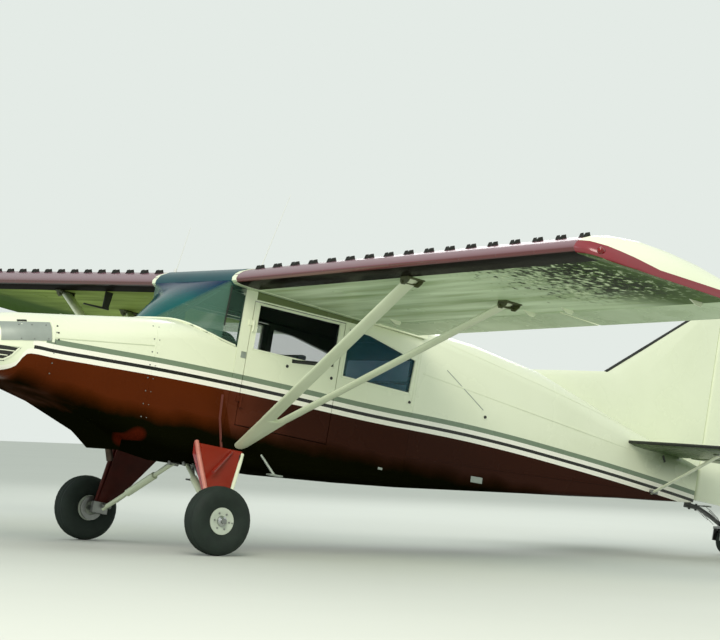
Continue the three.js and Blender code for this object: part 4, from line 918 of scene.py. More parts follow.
generators = {
    "fromNose": 0.105, "first": 0.16, "pitch": 0.222, "count": 17, "spread": 0.024, "toe": 14,
    "length": 0.046, "height": 0.023, "thickness": 0.003, "frontHeight": 0.25, "slantEnd": 0.1,
    "sunk": 0.001, "foot": 0.009, "footTop": 0.0015, "probe": 0.02,
}


# Height of the wing's upper or lower skin, from its own nose
def wingSkins():
    trees = {}
    for name, side in sides.items():
        bm = bmesh.new()
        bm.from_mesh(frame["nodes"]["wing_" + name].data)
        bmesh.ops.transform(bm, matrix=wingFrame(side).inverted(), verts=bm.verts)
        trees[name] = BVHTree.FromBMesh(bm)
        bm.free()
    return trees


wingTrees = wingSkins()


def onWing(name, x, y, above=True):
    look = Vector((0, 0, -1 if above else 1))
    spot = wingTrees[name].ray_cast(Vector((x, sides[name] * y, 1 if above else -1)), look)[0]
    return spot or Vector((x, sides[name] * y, 0))


# Pairs of small vanes near the nose that keep the air on the wing
def makeGenerators(name):
    side = sides[name]
    length, height, thick, sunk, foot, probe = (
        generators[key] for key in ("length", "height", "thickness", "sunk", "foot", "probe"))
    shape = [(-length / 2, -sunk), (length / 2, -sunk), (length / 2, height),
             (-length * generators["slantEnd"], height), (-length / 2, height * generators["frontHeight"])]
    x = generators["fromNose"]
    bm = bmesh.new()
    for index in range(generators["count"]):
        y = generators["first"] + index * generators["pitch"]
        root, ahead, behind = (onWing(name, x + step, y) for step in (0, -probe, probe))
        tilt = math.atan2(behind.z - ahead.z, 2 * probe)
        for half in (-1, 1):
            place = Matrix.Translation(root + Vector((0, half * generators["spread"], 0)))
            place = place @ Matrix.Rotation(-tilt, 4, "Y")
            place = place @ Matrix.Rotation(math.radians(half * generators["toe"]), 4, "Z")
            vane = [place @ Vector((along, -thick / 2, up)) for along, up in shape]
            addPlate(bm, vane, place.to_3x3() @ Vector((0, thick, 0)))
            addBlock(bm, (-length / 2, -foot, -sunk), (length / 2, foot, generators["footTop"]), 0.0005,
                     place)
    addPiece("vortex_generators_" + name, bm, "strip", place=wingFrame(side))


# Measures from a spot on the skin; a strut's fitting is a plate, two cheeks and a bolt
wingTrim = {
    "fairing": {"inner": -0.014, "outer": 0.042, "skin": 0.0035, "stations": 26, "along": (0.002, 1.21),
                "probe": 0.02},
    "fittings": ((0.238, 1.836), (0.918, 1.996)), "plate": ((-0.07, -0.045, -0.01), (0.07, 0.045, 0.003)),
    "cheek": ((0.05, 0.0), (0.03, -0.03), (-0.01, -0.05), (-0.045, -0.045), (-0.06, -0.025), (-0.06, 0.0)),
    "cheeksAt": (-0.058, 0.05), "cheekThickness": 0.008, "boltEnd": 0.07, "boltIn": 0.03,
    "covers": [(0.42, y) for y in (0.75, 1.5, 2.6, 3.3)] + [(0.95, y) for y in (0.9, 3.0)],
    "coverRadius": (0.062, 0.066), "coverHeight": 0.003, "screws": 8, "screwRing": 0.052,
    "caps": [(0.62, 0.62), (0.62, 1.55)], "capGrip": ((-0.028, -0.006, 0.013), (0.028, 0.006, 0.024)),
    "cap": [(0.0, 0.016), (0.03, 0.015), (0.038, 0.010), (0.04, 0.004), (0.055, 0.003), (0.058, -0.002)],
    "arms": (0.36, 1.9, 2.3, 3.55), "armFrom": 1.16, "armThickness": 0.008,
    "arm": [(-0.07, 0.006), (0.0, -0.028), (0.035, -0.03), (0.048, -0.014), (0.04, 0.004), (0.01, 0.012)],
    "lens": [(0.0, 0.05), (0.012, 0.046), (0.02, 0.032), (0.024, 0.0), (0.02, -0.03), (0.0, -0.045)],
    "lensAt": (0.10, 0.135, 0.02),
}


# Enamelled fairing over the joint between roof and wing, with the wing's own outline
def makeRootFairing(name):
    side = sides[name]
    spec = wingTrim["fairing"]
    first, last = spec["along"]
    upper, lower = [], []
    for index in range(spec["stations"]):
        x = first + (last - first) * (1 - math.cos(math.pi * index / (spec["stations"] - 1))) / 2
        upper.append(onWing(name, x, spec["probe"]))
        lower.append(onWing(name, x, spec["probe"], False))
    skin = Vector((0, 0, spec["skin"]))
    outline = [point + skin for point in upper] + [point - skin for point in reversed(lower)]
    outline[0].x -= spec["skin"]
    outline[-1].x -= spec["skin"]
    bm = bmesh.new()
    addLoft(bm, [[Vector((p.x, side * y, p.z)) for p in outline] for y in (spec["inner"], spec["outer"])])
    addPiece("root_fairing_" + name, bm, "paintedGreenBelow", angle=40, place=wingFrame(side))


# Fittings where the struts meet the wing, round covers, fuel caps, hinge arms, position lights
def makeWingTrim(name):
    side = sides[name]
    bm = bmesh.new()
    for x, y in wingTrim["fittings"]:
        spot = onWing(name, x, y, False)
        low, high = wingTrim["plate"]
        addBlock(bm, spot + Vector(low), spot + Vector(high), 0.004)
        for dx in wingTrim["cheeksAt"]:
            outline = [spot + Vector((dx, side * out, up)) for out, up in wingTrim["cheek"]]
            addPlate(bm, outline, (wingTrim["cheekThickness"], 0, 0), 0.001)
        end, inward = wingTrim["boltEnd"], wingTrim["boltIn"]
        addRod(bm, *(spot + Vector((dx, -side * inward, -inward)) for dx in (-end, end)), 0.009)
    addPiece("strut_fittings_" + name, bm, "fitting", place=wingFrame(side))
    bm = bmesh.new()
    height, ring = wingTrim["coverHeight"], wingTrim["screwRing"]
    for x, y in wingTrim["covers"]:
        spot = onWing(name, x, y, False)
        addRod(bm, spot - Vector((0, 0, height)), spot + Vector((0, 0, height)), *wingTrim["coverRadius"], 32)
        for step in range(wingTrim["screws"]):
            angle = step * 2 * math.pi / wingTrim["screws"]
            screw = spot + Vector((ring * math.cos(angle), ring * math.sin(angle), 0))
            addRod(bm, screw - Vector((0, 0, height * 1.5)), screw, 0.005, sides=8)
    addPiece("inspection_covers_" + name, bm, "wing" + name.title(), place=wingFrame(side))
    bm = bmesh.new()
    for x, y in wingTrim["caps"]:
        spot = onWing(name, x, y)
        addTurned(bm, wingTrim["cap"], spot, (0, 0, 1), 32)
        addBlock(bm, *(spot + Vector(corner) for corner in wingTrim["capGrip"]), 0.003)
    addPiece("fuel_caps_" + name, bm, "alloy", place=wingFrame(side))
    bm = bmesh.new()
    thick = wingTrim["armThickness"]
    for y in wingTrim["arms"]:
        root = onWing(name, wingTrim["armFrom"], y, False)
        outline = [root + Vector((back, -thick / 2, up)) for back, up in wingTrim["arm"]]
        addPlate(bm, outline, (0, thick, 0), 0.001)
    addPiece("hinge_arms_" + name, bm, "cream", place=wingFrame(side))
    bm = bmesh.new()
    back, beyond, up = wingTrim["lensAt"]
    tip = Vector((back, side * (wingShape["length"] + beyond), up))
    addTurned(bm, wingTrim["lens"], tip, (-1, side * 0.6, 0), 24)
    lens = "redLens" if name == "left" else "greenLens"
    addPiece("position_light_" + name, bm, lens, place=wingFrame(side))


for name in sides:
    makeGenerators(name)
    makeRootFairing(name)
    makeWingTrim(name)
print("wings trimmed")

# Pressure head under the right wing, as in the photo
pitotTube = {"x": 0.22, "y": 1.1, "drop": 0.13, "chord": 0.045, "thickness": 0.01, "nose": 0.19}


def makePitot():
    top = onWing("right", pitotTube["x"], pitotTube["y"], False)
    drop, chord, thick = pitotTube["drop"], pitotTube["chord"], pitotTube["thickness"]
    bm = bmesh.new()
    outline = [top + Vector((along, -thick / 2, up)) for along, up in (
        (-chord / 2, 0.004), (chord, 0.004), (chord * 0.6, -drop), (-chord * 0.6, -drop))]
    addPlate(bm, outline, (0, thick, 0), 0.003)
    low = top + Vector((0, 0, -drop))
    addRod(bm, low + Vector((0.03, 0, 0)), low + Vector((-pitotTube["nose"], 0, 0)), 0.009, 0.006)
    addPiece("pitot", bm, "darkSteel", place=wingFrame(1))


makePitot()

# Fuselage trim, laid on the skins

bodySkin = surfaceOf("nose_bowl", "cowl", "boot_cowl", "cabin_shell", "aft_fuselage")
doorSkin = {name: surfaceOf("door_" + name) for name in sides}
tapes = {
    # name: path of x and z, width, height, finish
    "stringer_upper": ([(1.80, 1.645), (2.04, 1.62), (3.0, 1.51), (4.20, 1.355)], 0.016, 0.0022, "body"),
    "stringer_middle": ([(1.80, 1.36), (2.6, 1.305), (3.6, 1.235), (4.6, 1.165)], 0.014, 0.0018, "body"),
    "stringer_low": ([(1.80, 0.74), (2.6, 0.79), (3.6, 0.86), (4.7, 0.94)], 0.014, 0.0018, "body"),
    "tape_diagonal": ([(2.024, 1.428), (2.447, 1.207)], 0.007, 0.0016, "silver"),
    "edge_strip_aft": ([(1.735, 1.56), (1.735, 1.10)], 0.022, 0.002, "body"),
    "seam_cowl": ([(-1.20, 1.16), (-1.20, 0.80)], 0.006, 0.0012, "body"),
    "seam_boot_upper": ([(-0.447, 1.29), (-0.447, 0.98)], 0.006, 0.0012, "body"),
    "seam_boot_lower": ([(-0.447, 0.90), (-0.447, 0.52)], 0.006, 0.0012, "body"),
    "cowl_hinge": ([(-1.19, 1.02), (-0.46, 1.115)], 0.008, 0.002, "strutCream"),
    "panel_edge": ([(0.118, 0.885), (0.128, 0.72), (0.19, 0.47)], 0.02, 0.003, "dustyMaroon"),
}


def makeTapes():
    for tape, (path, width, height, finish) in tapes.items():
        for name, side in sides.items():
            bm = bmesh.new()
            addTape(bm, bodySkin, [(x, 0, z) for x, z in path], (0, -side, 0), width, height)
            addPiece("%s_%s" % (tape, name), bm, finish)


makeTapes()

nosePanel = {
    "outline": [(-1.575, 1.056), (-1.226, 1.119), (-1.217, 0.997), (-1.56, 0.934)], "lift": 0.004,
    "thickness": 0.005, "rows": 7, "columns": 5,
    "slot": [(-1.455, 1.086), (-1.39, 1.098)], "strip": [(-1.212, 1.132), (-1.204, 0.988)],
    "studs": [(-1.178, 1.105), (-1.172, 1.06), (-1.166, 1.015)],
    "screws": [(-1.45, 1.06), (-1.36, 1.075), (-1.26, 1.093), (-1.43, 0.97), (-1.34, 0.985), (-1.24, 1.005)],
}


# Silver cheek panel, its slot, cream edge strip, studs and screws, on both sides of the cowl
def makeNosePanel(name):
    side = sides[name]
    look = Vector((0, -side, 0))
    (x0, z0), (x1, z1), (x2, z2), (x3, z3) = nosePanel["outline"]
    rows, columns = nosePanel["rows"], nosePanel["columns"]
    bm = bmesh.new()
    loops = []
    for row in range(rows):
        share = row / (rows - 1)
        topX, topZ = x0 + (x1 - x0) * share, z0 + (z1 - z0) * share
        lowX, lowZ = x3 + (x2 - x3) * share, z3 + (z2 - z3) * share
        line = []
        for step in range(columns + 1):
            x, z = topX + (lowX - topX) * step / columns, topZ + (lowZ - topZ) * step / columns
            spot, normal, _, _ = bodySkin.ray_cast(Vector((x, side, z)), look)
            line.append(bm.verts.new(spot + normal * nosePanel["lift"]))
        loops.append(line)
    faces = [
        bm.faces.new((before[i], before[i + 1], after[i + 1], after[i]))
        for before, after in zip(loops, loops[1:]) for i in range(columns)]
    bmesh.ops.recalc_face_normals(bm, faces=faces)
    bmesh.ops.solidify(bm, geom=faces, thickness=nosePanel["thickness"])
    bmesh.ops.recalc_face_normals(bm, faces=bm.faces)
    addPiece("cheek_panel_" + name, bm, "silver")
    slot, strip, studs, screws = (
        [(x, 0, z) for x, z in nosePanel[key]] for key in ("slot", "strip", "studs", "screws"))
    bm = bmesh.new()
    # The slot is a black strip on the skin, painted shade for its opening
    addTape(bm, bodySkin, slot, look, 0.016, 0.0065)
    addHeads(bm, bodySkin, studs, look, 0.008, 0.004)
    addPiece("cheek_slot_" + name, bm, "strip")
    bm = bmesh.new()
    addTape(bm, bodySkin, strip, look, 0.022, 0.006, 0.02)
    addPiece("cheek_strip_" + name, bm, "cream")
    bm = bmesh.new()
    addHeads(bm, bodySkin, screws, look, 0.006, 0.007)
    addPiece("cheek_screws_" + name, bm, "steel")


for name in sides:
    makeNosePanel(name)

noseTrim = {
    # Middle and half sizes; power is what squares the oval
    "inlet": {"x": -1.688, "y": 0.205, "z": 0.935, "half": 0.096, "tall": 0.066, "power": 0.7, "lip": 0.011,
              "steps": 32},
    # Fins and wall are measured from the inlet's middle, but up is over the wheels' axis
    "fins": {"count": 7, "low": -0.07, "pitch": 0.023, "thickness": 0.006, "half": 0.13,
             "along": (0.10, 0.2)},
    "finWall": {"along": (0.2, 0.21), "half": 0.15, "up": (0.84, 1.03)},
    # Sizes are width and height of the tapes; slant is where the lower edge starts to rise
    "cheekInlet": {
        "outline": [(-1.60, 0.800), (-1.60, 0.902), (-1.425, 0.915), (-1.475, 0.845), (-1.52, 0.812)],
        "bars": [[(-1.60, 0.868), (-1.46, 0.877)], [(-1.60, 0.835), (-1.50, 0.842)]],
        "lipSize": (0.012, 0.009), "barSize": (0.007, 0.007), "shadeSize": (0.021, 0.003), "step": 0.02,
        "strips": 12, "slant": 0.45},
}


# Rolled lips round the two front inlets, with cylinder fins behind
def makeInlets(name):
    side = sides[name]
    spec, fins, wall = noseTrim["inlet"], noseTrim["fins"], noseTrim["finWall"]
    x, y, z = spec["x"], side * spec["y"], spec["z"]
    bm = bmesh.new()
    ring = []
    for step in range(spec["steps"]):
        angle = 2 * math.pi * step / spec["steps"]
        across, up = (
            math.copysign(abs(reach) ** spec["power"], reach) * spec[size]
            for reach, size in ((math.cos(angle), "half"), (math.sin(angle), "tall")))
        ring.append(Vector((x, side * (spec["y"] + across), z + up)))
    addTube(bm, ring + ring[:1], spec["lip"], 3, 2)
    addPiece("inlet_lip_" + name, bm, "cream", angle=60)
    bm = bmesh.new()
    (front, back), half = fins["along"], fins["half"]
    for index in range(fins["count"]):
        low = z + fins["low"] + index * fins["pitch"]
        addBlock(bm, (x + front, y - half, low), (x + back, y + half, low + fins["thickness"]))
    (front, back), half, (low, high) = wall["along"], wall["half"], wall["up"]
    addBlock(bm, (x + front, y - half, low), (x + back, y + half, high))
    addPiece("cylinder_fins_" + name, bm, "engineAlloy")


# Small inlet low on each cheek, with a cream lip and bars; dark strips on the skin inside it are painted
# shade for its opening
def makeCheekInlet(name):
    look = Vector((0, -sides[name], 0))
    spec = noseTrim["cheekInlet"]
    outline, gap, slant = spec["outline"], spec["step"], spec["slant"]
    bm = bmesh.new()
    addTape(bm, bodySkin, [(x, 0, z) for x, z in outline + outline[:1]], look, *spec["lipSize"], gap)
    for bar in spec["bars"]:
        addTape(bm, bodySkin, [(x, 0, z) for x, z in bar], look, *spec["barSize"], gap)
    addPiece("cheek_inlet_lip_" + name, bm, "cream")
    bm = bmesh.new()
    (frontX, lowZ), (_, highZ), (backX, topZ) = outline[:3]
    for index in range(spec["strips"]):
        share = (index + 0.5) / spec["strips"]
        x = frontX + (backX - frontX) * share
        floor = lowZ + max(0.0, share - slant) * (topZ - lowZ) / (1 - slant)
        addTape(bm, bodySkin, [(x, 0, highZ), (x, 0, floor)], look, *spec["shadeSize"], gap)
    addPiece("cheek_inlet_shade_" + name, bm, "strip")


for name in sides:
    makeInlets(name)
    makeCheekInlet(name)


cowlTrim = {
    # Rows of heads: x, lowest z, distance between, how many, radius
    "rows": [(-1.185, 0.78, 0.07, 5, 0.0065), (-0.47, 0.62, 0.09, 8, 0.0065), (-0.43, 0.62, 0.09, 8, 0.005)],
    # On top: path, width, finish
    "top": {"oil_door": ([(-0.95, 0.17, 0), (-0.72, 0.17, 0)], 0.15, "cream"),
            "cowl_top_hinge": ([(-1.18, 0, 0), (-0.46, 0, 0)], 0.012, "silver")},
    "height": 0.003,
}


# Cowl fasteners in rows, an oil door and a hinge on top
def makeCowlTrim():
    bm = bmesh.new()
    for side in sides.values():
        for x, low, gap, count, radius in cowlTrim["rows"]:
            spots = [(x, 0, low + gap * i) for i in range(count)]
            addHeads(bm, bodySkin, spots, (0, -side, 0), radius, cowlTrim["height"])
    addPiece("cowl_fasteners", bm, "steel")
    for name, (path, width, finish) in cowlTrim["top"].items():
        bm = bmesh.new()
        addTape(bm, bodySkin, path, (0, 0, -1), width, cowlTrim["height"], 0.04)
        addPiece(name, bm, finish)


makeCowlTrim()
print("nose trimmed")

# Door, window and side fittings

cabinTrim = {
    "doorLight": (0.297, 0.983, 1.246, 1.557), "frame": 0.012, "lap": 0.002,
    "rearLight": [(1.072, 1.200), (1.690, 1.192), (1.702, 1.440), (1.262, 1.532), (1.072, 1.545)],
    "rearFrame": 0.018, "rearOut": 0.008,
    "handle": [(0.63, 1.222), (0.845, 1.245)], "recess": 0.03,
    # The grip's bends: how far in from the recess's ends, and out from the middle
    "gripEnds": (0.015, 0.03), "gripOut": (0.532, 0.543, 0.545), "gripRadius": 0.006,
    "locks": ((0.598, 1.179), (0.98, 1.167)), "lockOut": 0.530,
    "lock": [(0.0, 0.006), (0.008, 0.006), (0.011, 0.003), (0.012, -0.002)],
    # Ranges of x, y and z
    "armrest": ((0.45, 0.85), (0.455, 0.494), (1.05, 1.09)),
    "postFoot": ((0.205, 0.247), (0.529, 0.534), (1.165, 1.21)),
    # x, z, radius, height
    "studs": [(1.707, 1.129, 0.013, 0.008), (2.476, 1.159, 0.014, 0.01)],
    # Path and width
    "plates": [([(2.43, 0, 0.683), (2.55, 0, 0.688)], 0.05), ([(1.52, 0, 0.61), (1.56, 0, 0.61)], 0.02)],
}


# Frames round the windows, handle with a black strip painted as the shade of its recess, lock and latch,
# armrest, studs and plates
def makeDoorTrim(name):
    side = sides[name]
    look = (0, -side, 0)
    body = "door_%s_body" % name
    width = cabinTrim["frame"]
    x0, x1, z0, z1 = cabinTrim["doorLight"]
    edge = width / 2 - cabinTrim["lap"]
    bm = bmesh.new()
    addFrame(bm, doorSkin[name], [
        (x0 - edge, z0 - edge), (x1 + edge, z0 - edge), (x1 + edge, z1 + edge), (x0 - edge, z1 + edge)],
        look, width, 0.1)
    addPiece("door_light_frame_" + name, bm, "cream", body)
    bm = bmesh.new()
    (ax, az), (bx, bz) = cabinTrim["handle"]
    addTape(bm, doorSkin[name], [(ax, 0, az), (bx, 0, bz)], look, cabinTrim["recess"], 0.003, 0.03)
    addPiece("door_handle_recess_" + name, bm, "strip", body)
    bm = bmesh.new()
    end, bend = cabinTrim["gripEnds"]
    foot, out, most = (side * y for y in cabinTrim["gripOut"])
    addTube(bm, [(ax + end, foot, az - 0.002), (ax + bend, out, az), ((ax + bx) / 2, most, (az + bz) / 2),
                 (bx - bend, out, bz), (bx - end, foot, bz)], cabinTrim["gripRadius"])
    for x, z in cabinTrim["locks"]:
        addTurned(bm, cabinTrim["lock"], (x, side * cabinTrim["lockOut"], z), (0, side, 0), 20)
    addPiece("door_handle_" + name, bm, "darkSteel", body)
    bm = bmesh.new()
    addSideBlock(bm, side, *cabinTrim["armrest"], 0.008)
    addPiece("door_armrest_" + name, bm, "plastic", body)
    bm = bmesh.new()
    outline = cabinTrim["rearLight"]
    middleX, middleZ = (sum(spot[axis] for spot in outline) / len(outline) for axis in (0, 1))
    loop = []
    for x, z in outline:
        away = Vector((x - middleX, 0, z - middleZ)).normalized() * cabinTrim["rearOut"]
        loop.append((x + away.x, z + away.z))
    addFrame(bm, bodySkin, loop, look, cabinTrim["rearFrame"], 0.06)
    addPiece("rear_light_frame_" + name, bm, "cream")
    bm = bmesh.new()
    for x, z, radius, height in cabinTrim["studs"]:
        addHeads(bm, bodySkin, [(x, 0, z)], look, radius, height)
    addPiece("side_studs_" + name, bm, "darkSteel")
    bm = bmesh.new()
    for path, width in cabinTrim["plates"]:
        addTape(bm, bodySkin, path, look, width, 0.002, 0.04)
    addPiece("data_plates_" + name, bm, "silver")
    bm = bmesh.new()
    addSideBlock(bm, side, *cabinTrim["postFoot"], 0.002)
    addPiece("post_foot_" + name, bm, "silver")


for name in sides:
    makeDoorTrim(name)

windshieldTrim = {
    "jointX": 0.045, "jointUp": (1.36, 1.64), "joint": 0.012,
    # The base is sought from the side round to the front, in degrees, towards a point that moves
    # forward; each ray starts low and climbs until it meets the sheet: lowest, step, tries
    "steps": 23, "turn": (2, 88), "from": (0.17, -0.35), "reach": 1.2, "up": (1.0, 0.002, 240),
    "lift": 0.006, "rounds": 3, "base": 0.008,
    # Points and radius
    "braces": [((-0.10, 0.0, 1.385), (0.10, -0.34, 1.655), 0.013),
               ((-0.10, 0.0, 1.385), (0.10, 0.34, 1.655), 0.013),
               ((-0.10, 0, 1.30), (-0.10, 0, 1.40), 0.016)],
}
shieldSkin = surfaceOf("windshield")


# Trims along the windshield's joints, and the V of tubes inside it
def makeWindshieldTrim():
    (turn, turned), (middle, moved) = windshieldTrim["turn"], windshieldTrim["from"]
    low, rise, tries = windshieldTrim["up"]
    steps, reach = windshieldTrim["steps"], windshieldTrim["reach"]
    for name, side in sides.items():
        bm = bmesh.new()
        path = [(windshieldTrim["jointX"], 0, z) for z in windshieldTrim["jointUp"]]
        addTape(bm, shieldSkin, path, (0, -side, 0), windshieldTrim["joint"], 0.003, 0.04)
        addPiece("windshield_joint_" + name, bm, "seal")
        bm = bmesh.new()
        spots = []
        for step in range(steps + 1):
            angle = math.radians(turn + turned * step / steps)
            look = Vector((math.sin(angle), -side * math.cos(angle), 0)).normalized()
            origin = Vector((middle + moved * step / steps, 0, 0))
            for z in [low + rise * i for i in range(tries)]:
                hit = shieldSkin.ray_cast(origin + Vector((0, 0, z)) - look * reach, look)[0]
                if hit and side * hit.y > -0.01:
                    spots.append(hit + Vector((0, 0, windshieldTrim["lift"])))
                    break
        for _ in range(windshieldTrim["rounds"]):
            inner = [(a + 2 * b + c) / 4 for a, b, c in zip(spots, spots[1:], spots[2:])]
            spots = [spots[0]] + inner + [spots[-1]]
        addTube(bm, spots, windshieldTrim["base"], 2, 3)
        addPiece("windshield_base_" + name, bm, "cream", angle=60)
    bm = bmesh.new()
    for start, end, radius in windshieldTrim["braces"]:
        addRod(bm, start, end, radius, sides=18)
    addPiece("cabane_tubes", bm, "paleTube")


makeWindshieldTrim()
print("cabin trimmed")

# Interior seen through the glass

interior = {
    # Low and high corner, edge, point and degrees of its tilt, finish
    "sheets": {
        "headliner": ((0.06, -0.49, 1.618), (1.70, 0.49, 1.622), 0.0, (0.17, 0, 1.65), 1.63, "headliner"),
        "floor_carpet": ((0.06, -0.46, 0.475), (1.60, 0.46, 0.483), 0.002, (0.06, 0, 0.475), -2.0, "carpet")},
    "shield": [(-0.26, -0.36), (-0.26, 0.36), (0.06, 0.45), (0.06, -0.45)], "shieldUp": 1.296,
    "shieldThickness": 0.014,
    "bulkhead": [(-0.42, 0.60), (0.42, 0.60), (0.44, 0.75), (0.44, 1.48), (0.40, 1.56), (-0.40, 1.56),
                 (-0.44, 1.48), (-0.44, 0.75)],
    "bulkheadX": 1.722, "bulkheadThickness": 0.018,
    "quilts": (1.0, 1.18, 1.36), "quilt": ((1.712, -0.41, -0.078), (1.724, 0.41, 0.078)),
    # y, z and radius
    "dials": [(y, z, 0.039) for z in (1.235, 1.145) for y in (-0.36, -0.265, -0.17)]
    + [(y, z, 0.028) for z in (1.235, 1.16) for y in (0.20, 0.27, 0.34)],
    "panelX": 0.044, "glassX": 0.0455, "markX": 0.0457, "marks": 8,
    "yokes": (-0.25, 0.25), "column": (0.03, 0.24, 1.12), "columnRadius": 0.011, "gripRadius": 0.012,
    "grip": [(-0.13, 1.20), (-0.135, 1.12), (-0.06, 1.105), (0, 1.12), (0.06, 1.105), (0.135, 1.12),
             (0.13, 1.20)],
}


# Headliner, carpet, shield over the instruments, padded bulkhead, dials and yokes
def makeInterior():
    for name, (low, high, edge, centre, degrees, finish) in interior["sheets"].items():
        bm = bmesh.new()
        addBlock(bm, low, high, edge)
        tilt = Matrix.Rotation(math.radians(degrees), 3, "Y")
        bmesh.ops.rotate(bm, verts=bm.verts, cent=centre, matrix=tilt)
        addPiece(name, bm, finish)
    bm = bmesh.new()
    outline = [Vector((x, y, interior["shieldUp"])) for x, y in interior["shield"]]
    addPlate(bm, outline, (0, 0, interior["shieldThickness"]), 0.004)
    addPiece("glareshield", bm, "plastic")
    bm = bmesh.new()
    outline = [Vector((interior["bulkheadX"], y, z)) for y, z in interior["bulkhead"]]
    addPlate(bm, outline, (interior["bulkheadThickness"], 0, 0), 0.006)
    for z in interior["quilts"]:
        addBlock(bm, *(Vector(corner) + Vector((0, 0, z)) for corner in interior["quilt"]), 0.0055)
    addPiece("rear_bulkhead", bm, "bulkhead")
    faces, rims, marks = bmesh.new(), bmesh.new(), bmesh.new()
    panel, glass, mark = (interior[key] for key in ("panelX", "glassX", "markX"))
    for y, z, radius in interior["dials"]:
        addTurned(rims, [(radius, -0.002), (radius, 0.006), (radius * 0.86, 0.006), (radius * 0.86, 0.001)],
                  (panel, y, z), (1, 0, 0), 28)
        addRod(faces, (panel, y, z), (glass, y, z), radius * 0.87, sides=28)
        centre = Matrix.Translation((mark, y, z))
        for step in range(interior["marks"]):
            turn = centre @ Matrix.Rotation(step * 2 * math.pi / interior["marks"], 4, "X")
            addBlock(marks, (0, -0.0008, radius * 0.62), (0.0008, 0.0008, radius * 0.8), turn=turn)
        # Each needle points its own way
        turn = centre @ Matrix.Rotation(y * 23 + z * 9, 4, "X")
        addBlock(marks, (0, -0.0012, 0), (0.0012, 0.0012, radius * 0.7), turn=turn)
    addPiece("dial_rims", rims, "plastic")
    addPiece("dial_glasses", faces, "dial")
    addPiece("dial_marks", marks, "mark")
    bm = bmesh.new()
    front, back, up = interior["column"]
    for y in interior["yokes"]:
        addRod(bm, (front, y, up), (back, y, up), interior["columnRadius"], sides=16)
        addTube(bm, [(back, y + across, z) for across, z in interior["grip"]], interior["gripRadius"])
    addPiece("control_yokes", bm, "plastic")


makeInterior()

# Padded seats: each pad is a foam block in cloth, swollen by a short simulation, then sewn in channels
seatForm = {
    "cushion": (0.772, 0.866), "margin": 0.015, "backFoot": 0.90, "backStart": 0.110, "lean": 0.020,
    "backFront": 0.012, "backThickness": 0.062, "base": (0.46, 0.764), "inset": 0.05,
    "voxel": 0.012, "pressure": 4.0, "cap": 0.022, "frames": 20, "channel": 0.008, "channelDepth": 0.007,
    "piping": 0.0045,
}
seats = {
    # front and back edge, sides, top of the back
    "front_seat_left": (0.28, 0.72, -0.47, -0.05, 1.33),
    "front_seat_right": (0.28, 0.72, 0.05, 0.47, 1.33),
    "rear_seat": (1.13, 1.49, -0.43, 0.43, 1.225),
}


# The object's mesh with its modifiers carried out
def takeMesh(holder):
    graph = bpy.context.evaluated_depsgraph_get()
    return bpy.data.meshes.new_from_object(holder.evaluated_get(graph))


# Swells a closed block as cloth under pressure; no point moves farther than the cap
def swollen(bm):
    mesh = bpy.data.meshes.new("pad")
    bm.to_mesh(mesh)
    bm.free()
    pad = bpy.data.objects.new("pad", mesh)
    bpy.context.scene.collection.objects.link(pad)
    remesh = pad.modifiers.new("remesh", "REMESH")
    remesh.mode = "VOXEL"
    remesh.voxel_size = seatForm["voxel"]
    even = takeMesh(pad)
    pad.modifiers.clear()
    pad.data = even
    before = [vert.co.copy() for vert in even.vertices]
    cloth = pad.modifiers.new("cloth", "CLOTH")
    cloth.settings.use_pressure = True
    cloth.settings.uniform_pressure_force = seatForm["pressure"]
    cloth.settings.effector_weights.gravity = 0.0
    cloth.point_cache.frame_end = seatForm["frames"]
    for step in range(1, seatForm["frames"] + 1):
        bpy.context.scene.frame_set(step)
    moved = takeMesh(pad)
    pad.modifiers.clear()
    bpy.context.scene.frame_set(1)
    for vert, old, new in zip(even.vertices, before, moved.vertices):
        shift = new.co - old
        vert.co = old + shift * min(1.0, seatForm["cap"] / max(shift.length, 0.00001))
    smooth = pad.modifiers.new("smooth", "SUBSURF")
    smooth.levels = 1
    done = bmesh.new()
    done.from_mesh(takeMesh(pad))
    bpy.data.objects.remove(pad)
    return done


# Draws the cloth in along lines of equal y
def sewChannels(bm, lines):
    width, depth = seatForm["channel"], seatForm["channelDepth"]
    bm.normal_update()
    for vert in bm.verts:
        away = min(abs(vert.co.y - line) for line in lines)
        vert.co -= vert.normal * depth * math.exp(-(away / width) ** 2)


# Piping where the top and side cloths meet, laid on the swollen pad
def addPiping(bm, pad, corners, look, lift):
    tree = BVHTree.FromBMesh(pad)
    spots = []
    for start, end in zip(corners, corners[1:] + corners[:1]):
        for step in range(10):
            place = Vector(start).lerp(Vector(end), (step + 0.5) / 10)
            hit = tree.ray_cast(place - Vector(look) * 0.3, Vector(look))[0]
            if hit:
                spots.append(hit - Vector(look) * lift)
    if len(spots) > 3:
        addTube(bm, spots + spots[:2], seatForm["piping"], 1, 3)


